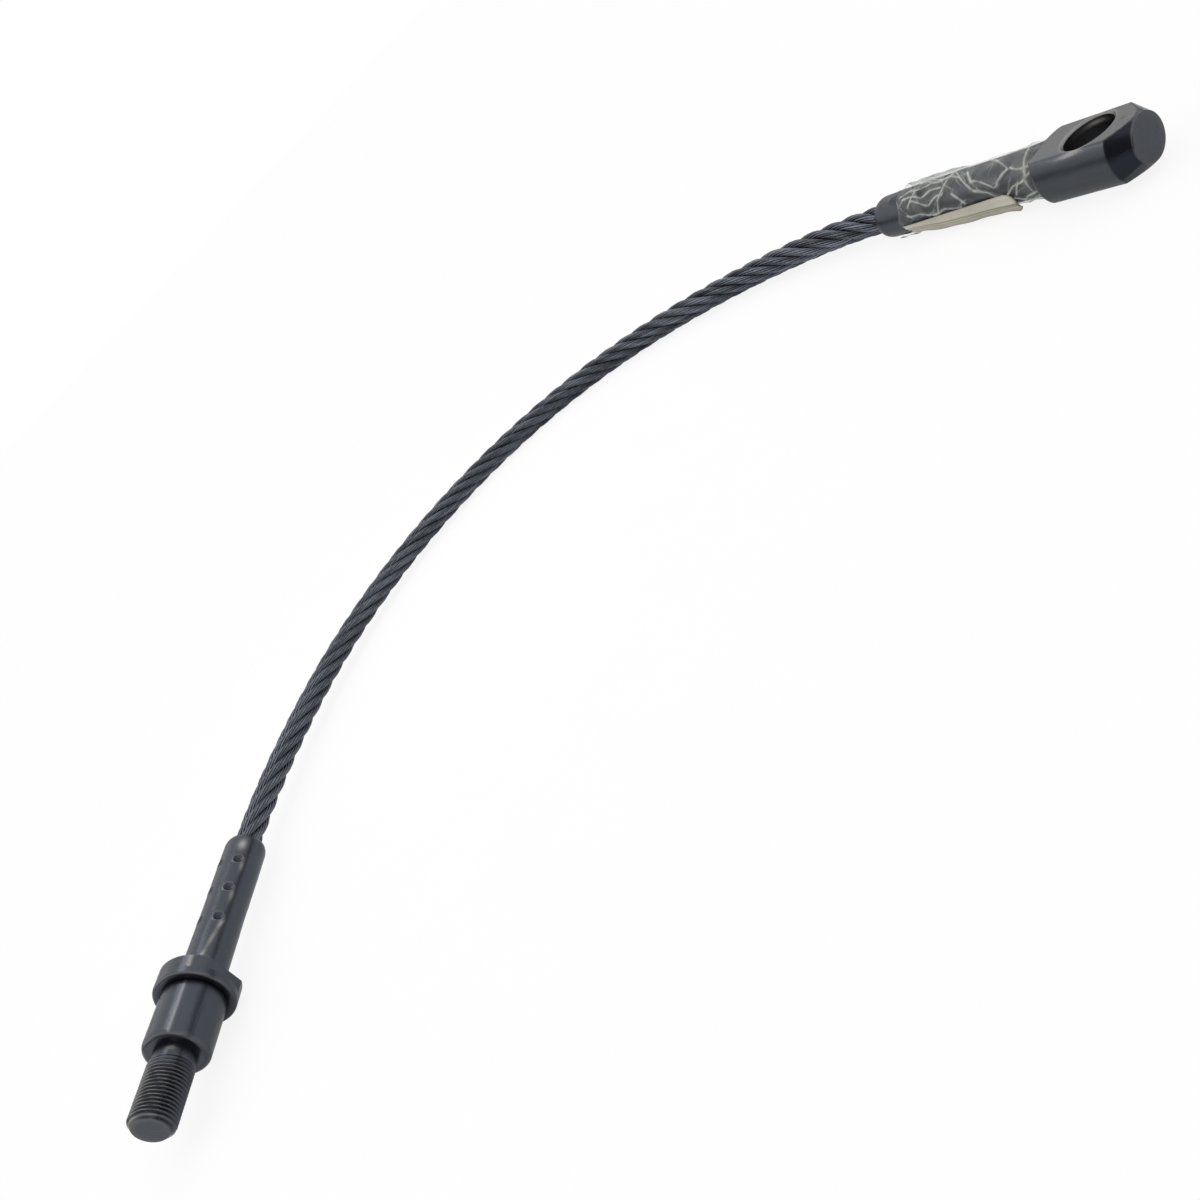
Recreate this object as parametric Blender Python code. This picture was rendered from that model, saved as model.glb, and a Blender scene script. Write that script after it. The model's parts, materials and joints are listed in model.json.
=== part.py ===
"""A short steel wire rope with a terminal swaged on each end.

One terminal is a threaded stud with a flanged shank, the other is a round bar
end milled flat on two sides and bored for a cross pin.  The rope keeps the bend
that it was set with, so the whole lies on three points.  Metres, +Z up; the origin
is on the floor, below the middle of the two terminals.

Each terminal is drawn in its own frame: its axis runs along +X from the sleeve's
mouth, where the rope leaves it, and angles round the axis are counted from +Z
towards +Y.
"""

import math

import bmesh
import bpy
import numpy as np
from mathutils import Euler, Matrix, Vector

# ---------------------------------------------------------------- sizes (metres)

GAP = 0.0003                    # clearance kept between two touching pieces

# Wire rope
ROPE_DIAMETER = 0.008
ROPE_ROUTE = (                  # in the rope's own plane, from the stud to the eye
    (0.0000, 0.000), (0.0494, -0.006), (0.0924, -0.022), (0.1284, -0.052), (0.1494, -0.093),
    (0.1524, -0.138), (0.1384, -0.182), (0.1134, -0.221), (0.0776, -0.256),
)
ROPE_TURN = math.radians(-144.0)  # heading at the eye, against the heading at the stud
ROPE_POINTS = 24

# Swaged sleeves, alike on both terminals
SLEEVE_DIAMETER = 0.0122
SLEEVE_NOSE = 0.0026            # length of the rounded mouth
SLEEVE_MOUTH_WALL = 0.0007      # wall left at the mouth's face
DENT_DIAMETER = 0.0028
DENT_DEPTH = 0.00045
DENT_SPACING = 0.0109
DENT_COUNT = 3                  # dents in each row

# Stud terminal, from the sleeve outwards
STUD_SLEEVE_LENGTH = 0.0503
STUD_ROPE_DEPTH = 0.0390        # how far the rope reaches into the sleeve
STUD_DENT_FIRST = 0.0108        # first dent from the mouth
STUD_DENT_ROWS = (-6.0, 52.0, 174.0, 232.0)  # degrees round the axis
FLANGE_DIAMETER = 0.0218
FLANGE_THICKNESS = 0.0060
FLANGE_LIP = 0.0024             # full round part below the wrench flats
FLANGE_EDGE = 0.0009
WRENCH_WIDTH = 0.0182           # across the two wrench flats
WRENCH_TURN = math.radians(6.0)
SHANK_DIAMETER = 0.0172
SHANK_LENGTH = 0.0165
SHANK_EDGE = 0.0015
RELIEF_DIAMETER = 0.0112
RELIEF_LENGTH = 0.0034
THREAD_DIAMETER = 0.0118
THREAD_LENGTH = 0.0164
THREAD_POINT = 0.0014           # length of the pointed end
THREAD_POINT_DEPTH = 0.0013     # how far the point draws in

# Eye terminal, from the sleeve outwards
EYE_SLEEVE_LENGTH = 0.0576
EYE_ROPE_DEPTH = 0.0390
EYE_DENT_FIRST = 0.0081
EYE_DENT_ROWS = (-22.0, 36.0, 158.0, 216.0)
HEAD_DIAMETER = 0.0178
HEAD_LENGTH = 0.0213            # from the shoulder to the foot of the cone
HEAD_WIDTH = 0.0122             # across the two cheeks
HEAD_EDGE = 0.0006
CONE_LENGTH = 0.0045
NOSE_DIAMETER = 0.0108
NOSE_EDGE = 0.0003
BORE_DIAMETER = 0.0122
BORE_FROM_SHOULDER = 0.0132
BORE_CHAMFER = 0.00055

# Clear film round the eye's sleeve, and the paper slip held under its outer edge
FILM_START = 0.0101
FILM_THICKNESS = 0.00025
FILM_OPEN = 60.0                # degrees left open along the underside
PAPER_START = 0.0118
PAPER_LENGTH = 0.0370
PAPER_THICKNESS = 0.0004
PAPER_EDGES = (-148.0, -92.0)   # degrees round the axis

# Fineness of the round shapes
TURN_STEPS = 40
ARC_STEPS = 3
DENT_STEPS = 10

STEEL = (0.115, 0.125, 0.145, 1.0)
ROPE_STEEL = (0.135, 0.145, 0.165, 1.0)
FILM_TINT = (0.62, 0.63, 0.62, 1.0)
PAPER_CREAM = (0.72, 0.71, 0.62, 1.0)


# ---------------------------------------------------------------- small helpers

def clear_scene():
    for thing in list(bpy.data.objects):
        bpy.data.objects.remove(thing, do_unlink=True)


def material(name, colour, roughness, metallic):
    made = bpy.data.materials.new(name)
    made.use_nodes = True
    shader = made.node_tree.nodes["Principled BSDF"]
    shader.inputs["Base Color"].default_value = colour
    shader.inputs["Roughness"].default_value = roughness
    shader.inputs["Metallic"].default_value = metallic
    made.diffuse_color = colour
    return made


def add_object(name, mesh, parent, surface=None):
    thing = bpy.data.objects.new(name, mesh)
    bpy.context.scene.collection.objects.link(thing)
    thing.parent = parent
    if surface:
        mesh.materials.append(surface)
    return thing


def mesh_from(name, builder):
    """Turn a filled bmesh into a mesh with its faces pointing out."""
    bmesh.ops.remove_doubles(builder, verts=builder.verts, dist=1e-7)
    bmesh.ops.recalc_face_normals(builder, faces=builder.faces)
    mesh = bpy.data.meshes.new(name)
    builder.to_mesh(mesh)
    builder.free()
    return mesh


def smooth(mesh):
    mesh.shade_smooth()
    mesh.set_sharp_from_angle(angle=math.radians(30.0))


def corner(centre, radius, start, end):
    """Points of a quarter round in an outline, angles in degrees."""
    points = []
    for step in range(ARC_STEPS + 1):
        angle = math.radians(start + (end - start) * step / ARC_STEPS)
        points.append((centre[0] + radius[0] * math.cos(angle),
                       centre[1] + radius[1] * math.sin(angle)))
    return points


def turned(name, outline, steps=TURN_STEPS):
    """Turn an outline of (along the axis, radius) points about the X axis."""
    builder = bmesh.new()
    verts = [builder.verts.new((along, 0.0, radius)) for along, radius in outline]
    edges = [builder.edges.new(pair) for pair in zip(verts, verts[1:])]
    bmesh.ops.spin(builder, geom=verts + edges, cent=(0, 0, 0), axis=(1, 0, 0),
                   angle=math.tau, steps=steps, use_merge=True)
    mesh = mesh_from(name, builder)
    smooth(mesh)
    return mesh


def cut(body, name, mesh):
    """Cut a mesh, drawn in the body's own frame, out of the body."""
    cutter = add_object(name, mesh, body)
    cutter.hide_render = True
    cutter.display_type = "WIRE"
    cutting = body.modifiers.new(name, "BOOLEAN")
    cutting.operation = "DIFFERENCE"
    cutting.solver = "EXACT"
    cutting.object = cutter


def boxes(name, spans):
    """One mesh of boxes, each given by its low and high corner."""
    builder = bmesh.new()
    for low, high in spans:
        size = [b - a for a, b in zip(low, high)]
        middle = [(a + b) / 2 for a, b in zip(low, high)]
        place = Matrix.Translation(middle) @ Matrix.Diagonal((*size, 1.0))
        bmesh.ops.create_cube(builder, size=1.0, matrix=place)
    return mesh_from(name, builder)


# ---------------------------------------------------------------- the rope's route

def smooth_route(count):
    """Points along one smooth curve through the route, with the headings at its ends."""
    route = np.array(ROPE_ROUTE)
    knots = np.concatenate([[0.0], np.cumsum(np.linalg.norm(np.diff(route, axis=0), axis=1))])
    start = np.array([1.0, 0.0])
    end = np.array([math.cos(ROPE_TURN), math.sin(ROPE_TURN)])
    size = len(route)
    system = np.zeros((size, size))
    right = np.zeros((size, 2))
    system[0, 0] = system[-1, -1] = 1.0
    right[0], right[-1] = start, end
    for i in range(1, size - 1):
        before, after = knots[i] - knots[i - 1], knots[i + 1] - knots[i]
        system[i, i - 1:i + 2] = 1 / before, 2 / before + 2 / after, 1 / after
        right[i] = 3 * (route[i] - route[i - 1]) / before**2 + 3 * (route[i + 1] - route[i]) / after**2
    slopes = np.linalg.solve(system, right)
    points = []
    for at in np.linspace(0.0, knots[-1], count):
        i = min(int(np.searchsorted(knots, at, side="right")) - 1, size - 2)
        span = knots[i + 1] - knots[i]
        u = (at - knots[i]) / span
        points.append((1 + 2 * u) * (1 - u)**2 * route[i] + u * (1 - u)**2 * span * slopes[i]
                      + u**2 * (3 - 2 * u) * route[i + 1] - u**2 * (1 - u) * span * slopes[i + 1])
    return np.array(points)


def trimmed(points, length):
    """Take the same short length off both ends of a polyline."""
    points = points.copy()
    for first, second in ((0, 1), (-1, -2)):
        step = points[second] - points[first]
        points[first] += step * length / np.linalg.norm(step)
    return points


# ---------------------------------------------------------------- swaged sleeves

def sleeve_outline(rope_depth, length):
    """The blind bore for the rope and the sleeve's outside, up to its far end."""
    bore = ROPE_DIAMETER / 2 + GAP
    outside = SLEEVE_DIAMETER / 2
    mouth = bore + SLEEVE_MOUTH_WALL
    nose = corner((SLEEVE_NOSE, mouth), (SLEEVE_NOSE, outside - mouth), 180.0, 90.0)
    return [(rope_depth + GAP, 0.0), (rope_depth + GAP, bore), (0.0, bore), *nose, (length, outside)]


def dents(first, rows):
    """Balls that leave the rows of round dents in a sleeve."""
    ball = (DENT_DIAMETER**2 / 4 + DENT_DEPTH**2) / (2 * DENT_DEPTH)
    reach = SLEEVE_DIAMETER / 2 - DENT_DEPTH + ball
    builder = bmesh.new()
    for row in rows:
        angle = math.radians(row)
        for number in range(DENT_COUNT):
            along = first + number * DENT_SPACING
            centre = Vector((along, reach * math.sin(angle), reach * math.cos(angle)))
            place = Matrix.Translation(centre) @ Euler((-angle, 0.0, 0.0)).to_matrix().to_4x4()
            bmesh.ops.create_uvsphere(builder, u_segments=DENT_STEPS, v_segments=2 * DENT_STEPS,
                                      radius=ball, matrix=place)
    return mesh_from("dents", builder)


def make_buried_rope(name, rope_depth, parent, surface):
    """The end of the rope that a sleeve is pressed on to."""
    radius = ROPE_DIAMETER / 2
    outline = [(0.0, 0.0), (0.0, radius), (rope_depth, radius), (rope_depth, 0.0)]
    return add_object(name, turned(name, outline, TURN_STEPS // 2), parent, surface)


# ---------------------------------------------------------------- stud terminal

def stud_outline():
    flange = FLANGE_DIAMETER / 2
    shank = SHANK_DIAMETER / 2
    relief = RELIEF_DIAMETER / 2
    thread = THREAD_DIAMETER / 2
    flange_top = STUD_SLEEVE_LENGTH
    seat = flange_top + FLANGE_THICKNESS
    shank_end = seat + SHANK_LENGTH
    thread_start = shank_end + RELIEF_LENGTH
    tip = thread_start + THREAD_LENGTH
    outline = sleeve_outline(STUD_ROPE_DEPTH, flange_top)
    outline.append((flange_top, flange))
    outline += corner((seat - FLANGE_EDGE, flange - FLANGE_EDGE), (FLANGE_EDGE, FLANGE_EDGE), 90.0, 0.0)
    outline.append((seat, shank))
    outline += corner((shank_end - SHANK_EDGE, shank - SHANK_EDGE), (SHANK_EDGE, SHANK_EDGE), 90.0, 0.0)
    outline += [(shank_end, relief), (thread_start, relief)]
    outline += [(thread_start + (thread - relief), thread), (tip - THREAD_POINT, thread)]
    outline += [(tip, thread - THREAD_POINT_DEPTH), (tip, 0.0)]
    return outline


def wrench_flats():
    """Boxes that leave two flats on the flange, above its lip."""
    start = STUD_SLEEVE_LENGTH - GAP
    end = STUD_SLEEVE_LENGTH + FLANGE_THICKNESS - FLANGE_LIP
    near, far = WRENCH_WIDTH / 2, FLANGE_DIAMETER
    spans = [((start, -far, -far), (end, -near, far)), ((start, near, -far), (end, far, far))]
    mesh = boxes("wrench_flats", spans)
    mesh.transform(Matrix.Rotation(-WRENCH_TURN, 4, "X"))
    return mesh


def make_stud(parent, surface):
    body = add_object("stud_terminal", turned("stud_terminal", stud_outline()), parent, surface)
    cut(body, "wrench_flats", wrench_flats())
    cut(body, "stud_dents", dents(STUD_DENT_FIRST, STUD_DENT_ROWS))
    return body


# ---------------------------------------------------------------- eye terminal

def eye_outline():
    head = HEAD_DIAMETER / 2
    nose = NOSE_DIAMETER / 2
    cone = EYE_SLEEVE_LENGTH + HEAD_LENGTH
    tip = cone + CONE_LENGTH
    outline = sleeve_outline(EYE_ROPE_DEPTH, EYE_SLEEVE_LENGTH)
    outline += corner((EYE_SLEEVE_LENGTH + HEAD_EDGE, head - HEAD_EDGE), (HEAD_EDGE, HEAD_EDGE), 180.0, 90.0)
    outline += [(cone, head), (tip - NOSE_EDGE, nose), (tip, nose - NOSE_EDGE), (tip, 0.0)]
    return outline


def cheek_cuts():
    """Boxes that mill the two flat cheeks of the head."""
    start = EYE_SLEEVE_LENGTH - HEAD_EDGE
    end = EYE_SLEEVE_LENGTH + HEAD_LENGTH + CONE_LENGTH + HEAD_EDGE
    near, far = HEAD_WIDTH / 2, HEAD_DIAMETER
    return boxes("cheek_cuts", [((start, -far, near), (end, far, far)), ((start, -far, -far), (end, far, -near))])


def eye_bore():
    """The cross bore and the chamfers at both of its mouths."""
    radius = BORE_DIAMETER / 2
    cheek = HEAD_WIDTH / 2
    reach = cheek + 2 * BORE_CHAMFER
    wide = radius + 3 * BORE_CHAMFER
    outline = [(-reach, 0.0), (-reach, wide), (-cheek + BORE_CHAMFER, radius),
               (cheek - BORE_CHAMFER, radius), (reach, wide), (reach, 0.0)]
    mesh = turned("eye_bore", outline)
    mesh.transform(Matrix.Rotation(math.radians(90.0), 4, "Y"))
    mesh.transform(Matrix.Translation((EYE_SLEEVE_LENGTH + BORE_FROM_SHOULDER, 0.0, 0.0)))
    return mesh


def make_eye(parent, surface):
    body = add_object("eye_terminal", turned("eye_terminal", eye_outline()), parent, surface)
    cut(body, "cheek_cuts", cheek_cuts())
    cut(body, "eye_bore", eye_bore())
    cut(body, "eye_dents", dents(EYE_DENT_FIRST, EYE_DENT_ROWS))
    return body


# ---------------------------------------------------------------- film and paper

def curved_sheet(name, along, inner, thickness, edges):
    """A sheet bent round the X axis between two angles, in degrees."""
    steps = max(4, round(abs(edges[1] - edges[0]) / 360.0 * TURN_STEPS))
    outer = inner + thickness
    ring = []
    for radius, order in ((inner, range(steps + 1)), (outer, range(steps, -1, -1))):
        for step in order:
            angle = math.radians(edges[0] + (edges[1] - edges[0]) * step / steps)
            ring.append((radius * math.sin(angle), radius * math.cos(angle)))
    builder = bmesh.new()
    ends = [[builder.verts.new((x, y, z)) for y, z in ring] for x in along]
    count = len(ring)
    for i in range(count):
        j = (i + 1) % count
        builder.faces.new((ends[0][i], ends[0][j], ends[1][j], ends[1][i]))
    for end in ends:
        for i in range(steps):
            builder.faces.new((end[i], end[i + 1], end[count - 2 - i], end[count - 1 - i]))
    mesh = mesh_from(name, builder)
    smooth(mesh)
    return mesh


def make_film(parent, surface):
    inner = SLEEVE_DIAMETER / 2 + GAP
    half = 180.0 - FILM_OPEN / 2
    along = (FILM_START, EYE_SLEEVE_LENGTH - GAP)
    mesh = curved_sheet("film_wrap", along, inner, FILM_THICKNESS, (-half, half))
    return add_object("film_wrap", mesh, parent, surface)


def make_paper(parent, surface):
    inner = SLEEVE_DIAMETER / 2 + GAP + FILM_THICKNESS + GAP
    along = (PAPER_START, PAPER_START + PAPER_LENGTH)
    mesh = curved_sheet("paper_slip", along, inner, PAPER_THICKNESS, PAPER_EDGES)
    return add_object("paper_slip", mesh, parent, surface)


# ---------------------------------------------------------------- rope

def make_rope(parent, surface):
    """The free stretch of the rope, a plain tube from one sleeve's mouth to the other's."""
    points = trimmed(smooth_route(ROPE_POINTS), GAP)
    curve = bpy.data.curves.new("wire_rope", "CURVE")
    curve.dimensions = "3D"
    curve.bevel_depth = ROPE_DIAMETER / 2
    curve.bevel_resolution = 4
    curve.use_fill_caps = True
    spline = curve.splines.new("POLY")
    spline.points.add(len(points) - 1)
    for point, (x, y) in zip(spline.points, points):
        point.co = (x, y, 0.0, 1.0)
    curve.materials.append(surface)
    rope = bpy.data.objects.new("wire_rope", curve)
    bpy.context.scene.collection.objects.link(rope)
    rope.parent = parent
    return rope


# ---------------------------------------------------------------- lying on the floor

def world_points(things):
    """The corner points of the things as they stand, modifiers included."""
    bpy.context.view_layer.update()
    graph = bpy.context.evaluated_depsgraph_get()
    points = []
    for thing in things:
        ready = thing.evaluated_get(graph)
        mesh = ready.to_mesh()
        points += [ready.matrix_world @ vert.co for vert in mesh.vertices]
        ready.to_mesh_clear()
    return points


def resting_face(points, weight_at):
    """The downward face of the hull that the weight stands over: its normal and one point."""
    builder = bmesh.new()
    for point in points:
        builder.verts.new(point)
    hull = bmesh.ops.convex_hull(builder, input=builder.verts)
    for face in [part for part in hull["geom"] if isinstance(part, bmesh.types.BMFace)]:
        if face.normal.z > -0.5:
            continue
        corners = [vert.co.to_2d() for vert in face.verts]
        sides = [(b - a).cross(weight_at.to_2d() - a) for a, b in zip(corners, corners[1:] + corners[:1])]
        if max(sides) <= 0.0 or min(sides) >= 0.0:
            found = face.normal.copy(), face.verts[0].co.copy()
            builder.free()
            return found
    raise RuntimeError("the object has no face to rest on")


def weight_centre(things):
    """The common centre of the solids' volumes."""
    graph = bpy.context.evaluated_depsgraph_get()
    total, moment = 0.0, Vector()
    for thing in things:
        ready = thing.evaluated_get(graph)
        mesh = ready.to_mesh()
        mesh.calc_loop_triangles()
        for triangle in mesh.loop_triangles:
            a, b, c = (ready.matrix_world @ mesh.vertices[i].co for i in triangle.vertices)
            volume = a.dot(b.cross(c)) / 6
            total += volume
            moment += volume * (a + b + c) / 4
        ready.to_mesh_clear()
    return moment / total


def lay_on_floor(base, carrying, terminals):
    """Tilt and lower the base until its pieces rest, then put the origin under the terminals."""
    points = world_points(carrying)
    normal, foot = resting_face(points, weight_centre(carrying))
    turn = normal.rotation_difference(Vector((0.0, 0.0, -1.0)))
    level = (turn @ foot).z
    base.rotation_euler = turn.to_euler()
    base.location.z = -level
    spread = world_points(terminals)
    for axis in (0, 1):
        values = [point[axis] for point in spread]
        base.location[axis] = -(min(values) + max(values)) / 2
    bpy.context.view_layer.update()


# ---------------------------------------------------------------- the whole

def add_empty(name, parent=None, location=(0.0, 0.0, 0.0), turn=0.0):
    empty = bpy.data.objects.new(name, None)
    bpy.context.scene.collection.objects.link(empty)
    empty.parent = parent
    empty.location = location
    empty.rotation_euler = (0.0, 0.0, turn)
    return empty


def main():
    clear_scene()
    steel = material("dark_steel", STEEL, 0.42, 0.85)
    rope_steel = material("rope_steel", ROPE_STEEL, 0.5, 0.8)
    film = material("clear_film", FILM_TINT, 0.15, 0.0)
    paper = material("cream_paper", PAPER_CREAM, 0.8, 0.0)

    base = add_empty("rope_plane")
    rope_end = (*ROPE_ROUTE[-1], 0.0)
    stud_frame = add_empty("stud_frame", base, (*ROPE_ROUTE[0], 0.0), math.pi)
    eye_frame = add_empty("eye_frame", base, rope_end, ROPE_TURN)

    rope = make_rope(base, rope_steel)
    stud = make_stud(stud_frame, steel)
    eye = make_eye(eye_frame, steel)
    make_buried_rope("rope_end_in_stud", STUD_ROPE_DEPTH, stud_frame, rope_steel)
    make_buried_rope("rope_end_in_eye", EYE_ROPE_DEPTH, eye_frame, rope_steel)
    wrap = make_film(eye_frame, film)
    slip = make_paper(eye_frame, paper)
    lay_on_floor(base, (rope, stud, eye), (stud, eye, wrap, slip))


main()
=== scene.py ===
# %% [markdown]
# # A short wire rope with a swaged stud and a swaged eye
#
# The object is a steel wire rope, 8 mm thick and about 38 cm long between its two
# terminals.  One terminal is a threaded stud behind a flange, the other a round bar
# end milled flat on two sides and bored for a cross pin.  Both were pressed on to the
# rope, which is why their sleeves carry rows of small round dents.
#
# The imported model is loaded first, because every piece below has to lie where it says.

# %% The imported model
import json
import math

import bmesh
import bpy
import numpy as np
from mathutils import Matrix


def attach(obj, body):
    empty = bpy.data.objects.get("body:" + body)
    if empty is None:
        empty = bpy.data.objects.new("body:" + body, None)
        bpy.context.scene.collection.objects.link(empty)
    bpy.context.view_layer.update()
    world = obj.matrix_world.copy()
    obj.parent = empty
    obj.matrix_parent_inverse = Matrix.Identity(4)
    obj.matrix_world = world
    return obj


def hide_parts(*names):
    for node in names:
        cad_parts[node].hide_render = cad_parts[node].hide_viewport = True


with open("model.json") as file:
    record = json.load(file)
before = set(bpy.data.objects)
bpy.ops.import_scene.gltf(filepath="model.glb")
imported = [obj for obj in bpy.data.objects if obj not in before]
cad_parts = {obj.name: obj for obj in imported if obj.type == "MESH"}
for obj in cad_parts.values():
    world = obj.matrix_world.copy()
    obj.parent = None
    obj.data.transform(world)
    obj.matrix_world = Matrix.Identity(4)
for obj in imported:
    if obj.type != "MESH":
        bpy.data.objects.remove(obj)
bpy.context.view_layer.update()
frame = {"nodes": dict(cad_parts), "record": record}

print("packed model:", sorted(frame["nodes"]))

# %% [markdown]
# ## Three frames of reference
#
# A swaged terminal is easiest to draw along its own axis, so every shape below is
# worked out in millimetres in a frame of its own, and carried to its place at the end.
# +X runs out of the sleeve's mouth along the terminal, and angles round it are counted
# from +Z towards +Y.  The stud's tip and the eye's cheek are flat faces whose places
# the record gives, so the frames follow from them.

# %% Frames of the rope, the stud and the eye
MM = 0.001
STUD_TIP = 92.6                 # from the sleeve's mouth to the thread's end face
ROPE_ROUTE = np.array([         # in the rope's plane, from the stud to the eye
    (0.0000, 0.0000), (0.0494, -0.0060), (0.0924, -0.0220), (0.1284, -0.0520), (0.1494, -0.0930),
    (0.1524, -0.1380), (0.1384, -0.1820), (0.1134, -0.2210), (0.0776, -0.2560)]) / MM
ROPE_TURN = math.radians(-144.0)

faces = {mount["name"]: mount for mount in frame["record"]["mounts"]}


def unit(vector):
    """A vector divided by its own length; in an array, every row on its own."""
    vector = np.asarray(vector, dtype=float)
    return vector / np.linalg.norm(vector, axis=-1, keepdims=True)


class Place:
    """A frame of reference: its three directions as columns, and its origin in millimetres."""

    def __init__(self, ahead, up, origin):
        ahead = unit(ahead)
        side = unit(np.cross(up, ahead))
        self.turn = np.stack([ahead, side, np.cross(ahead, side)], axis=1)
        self.origin = np.asarray(origin, dtype=float)

    def world(self, points):
        """Points in metres: each is the origin plus its share of the three directions."""
        return (np.asarray(points) @ self.turn.T + self.origin) * MM


up = unit(faces["cheek_top"]["axis"])
stud_ahead = unit(faces["stud_tip"]["axis"])
stud_origin = np.array(faces["stud_tip"]["pos_m"]) / MM - STUD_TIP * stud_ahead
stud_place = Place(stud_ahead, up, stud_origin)
rope_place = Place(-stud_ahead, up, stud_origin)
eye_heading = np.array([math.cos(ROPE_TURN), math.sin(ROPE_TURN), 0.0])
eye_origin = rope_place.world([*ROPE_ROUTE[-1], 0.0]) / MM
eye_place = Place(rope_place.turn @ eye_heading, up, eye_origin)
print("stud's mouth at", stud_place.origin.round(2), "mm")
print("eye's mouth at", eye_place.origin.round(2), "mm")

# %% [markdown]
# ## The camera
#
# The photograph was taken from close by with a wide lens, held so that the stud comes
# towards the viewer.  That strong perspective is what makes the stud look twice as
# thick as the rope's far end, so the place of the camera matters more than its lens.

# %% The camera
camera = bpy.data.objects.new("camera", bpy.data.cameras.new("camera"))
bpy.context.scene.collection.objects.link(camera)
bpy.context.scene.camera = camera
camera.data.sensor_width = 36.0
camera.data.lens = 33.0
camera.data.clip_start = 0.01
camera.location = (-0.23935, -0.08441, 0.13249)
camera.rotation_euler = [math.radians(angle) for angle in (54.4536, 40.9209, -93.8113)]
print("camera", [round(x, 4) for x in camera.location], "lens", camera.data.lens, "mm")

# %% [markdown]
# ## From grids of points to meshes
#
# Every surface here is a function of two parameters, worked out for a whole grid at
# once.  Neighbouring points of the grid become the corners of a quad.  Where a row
# shrinks to one point, as at the middle of an end face, its points are merged, which
# closes the pole, and the seam of a full turn closes by wrapping the last column round
# to the first.

# %% Grids into meshes
def grid_quads(rows, columns, wrap):
    """Corner numbers of the quads between neighbouring rows and columns, as an array."""
    row = np.arange(rows - 1)[:, None]
    column = np.arange(columns if wrap else columns - 1)[None, :]
    after = (column + 1) % columns
    corners = [row * columns + column, (row + 1) * columns + column,
               (row + 1) * columns + after, row * columns + after]
    shape = (rows - 1, column.size)
    corners = [np.broadcast_to(corner, shape) for corner in corners]
    return np.stack(corners, axis=-1).reshape(-1, 4)


def raw_mesh(name, points, quads, loose_faces=()):
    """A mesh from its points and the corner numbers of its faces; the grids may have any shape."""
    mesh = bpy.data.meshes.new(name)
    corners = np.asarray(points).reshape(-1, 3)
    mesh.from_pydata(corners.tolist(), [], quads.tolist() + list(loose_faces))
    return mesh


def close_up(mesh, sharp_angle=30.0, merge=0.001 * MM):
    """Merge coinciding points, turn the faces outwards, and smooth all but the sharp edges."""
    builder = bmesh.new()
    builder.from_mesh(mesh)
    bmesh.ops.remove_doubles(builder, verts=builder.verts, dist=merge)
    bmesh.ops.recalc_face_normals(builder, faces=builder.faces)
    builder.to_mesh(mesh)
    builder.free()
    mesh.shade_smooth()
    mesh.set_sharp_from_angle(angle=math.radians(sharp_angle))
    return mesh


def store(mesh, name, values):
    """Keep one number, or one triple, for every point of a mesh, for its finish to read."""
    values = np.asarray(values, dtype=np.float32)
    kind, field = "FLOAT", "value"
    if values.ndim > 1 and values.shape[-1] == 3:
        kind, field = "FLOAT_VECTOR", "vector"
    mesh.attributes.new(name, kind, "POINT").data.foreach_set(field, values.ravel())


def add_piece(name, mesh, material_slot, *nodes):
    """Link a finished mesh, let it ride on the one body, and let it stand for its nodes."""
    piece = bpy.data.objects.new(name, mesh)
    bpy.context.scene.collection.objects.link(piece)
    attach(piece, "root")
    if nodes:
        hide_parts(*nodes)
    triangles = sum(len(face.vertices) - 2 for face in mesh.polygons)
    print(f"{name}: {triangles} triangles")
    return piece


# %% [markdown]
# ## The wire rope
#
# The rope lies loose in one wide arc.  It is laid from six strands round a core, and
# each strand is itself laid from wires, with its outer nine showing.  The strands wind
# to the right and their wires to the left, so the wires run almost straight along the
# rope: that is regular lay, and it gives the beaded look of the ridges.
#
# A picture of a rope could be painted on a smooth tube, but its outline would stay
# smooth and the grooves would hold no shadow.  Here each wire is a tube of its own.
# First comes the middle line, a cubic spline through a few given points.

# %% The rope's middle line
ROPE_DIAMETER = 8.0
BURIED = 3.0                    # how far the modelled wires reach into each sleeve
FINE_STEPS = 3000               # points on the spline, before they are spaced evenly
LINE_STEPS = 1200               # points of the middle line


def clamped_spline(route, start, end):
    """Knots, points and slopes of the cubic spline with the given headings at its ends.

    At every inner knot the second derivative is the same from both sides, which is one
    linear equation between three neighbouring slopes; all of them are solved at once.
    """
    knots = np.concatenate([[0.0], np.cumsum(np.linalg.norm(np.diff(route, axis=0), axis=1))])
    steps = np.diff(knots)[:, None]
    rises = 3 * np.diff(route, axis=0) / steps**2
    size = len(route)
    system = np.zeros((size, size))
    inner = np.arange(1, size - 1)
    system[0, 0] = system[-1, -1] = 1.0
    system[inner, inner - 1] = 1 / steps[:-1, 0]
    system[inner, inner] = 2 / steps[:-1, 0] + 2 / steps[1:, 0]
    system[inner, inner + 1] = 1 / steps[1:, 0]
    slopes = np.linalg.solve(system, np.concatenate([[start], rises[:-1] + rises[1:], [end]]))
    return knots, route, slopes


def along_spline(spline, count):
    """Points at even steps of the knots' parameter: each span blends its two ends and slopes."""
    knots, route, slopes = spline
    at = np.linspace(0.0, knots[-1], count)
    span = np.clip(np.searchsorted(knots, at, side="right") - 1, 0, len(knots) - 2)
    length = (knots[span + 1] - knots[span])[:, None]
    u = (at - knots[span])[:, None] / length
    return ((1 + 2 * u) * (1 - u)**2 * route[span] + u * (1 - u)**2 * length * slopes[span]
            + u**2 * (3 - 2 * u) * route[span + 1] - u**2 * (1 - u) * length * slopes[span + 1])


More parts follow.
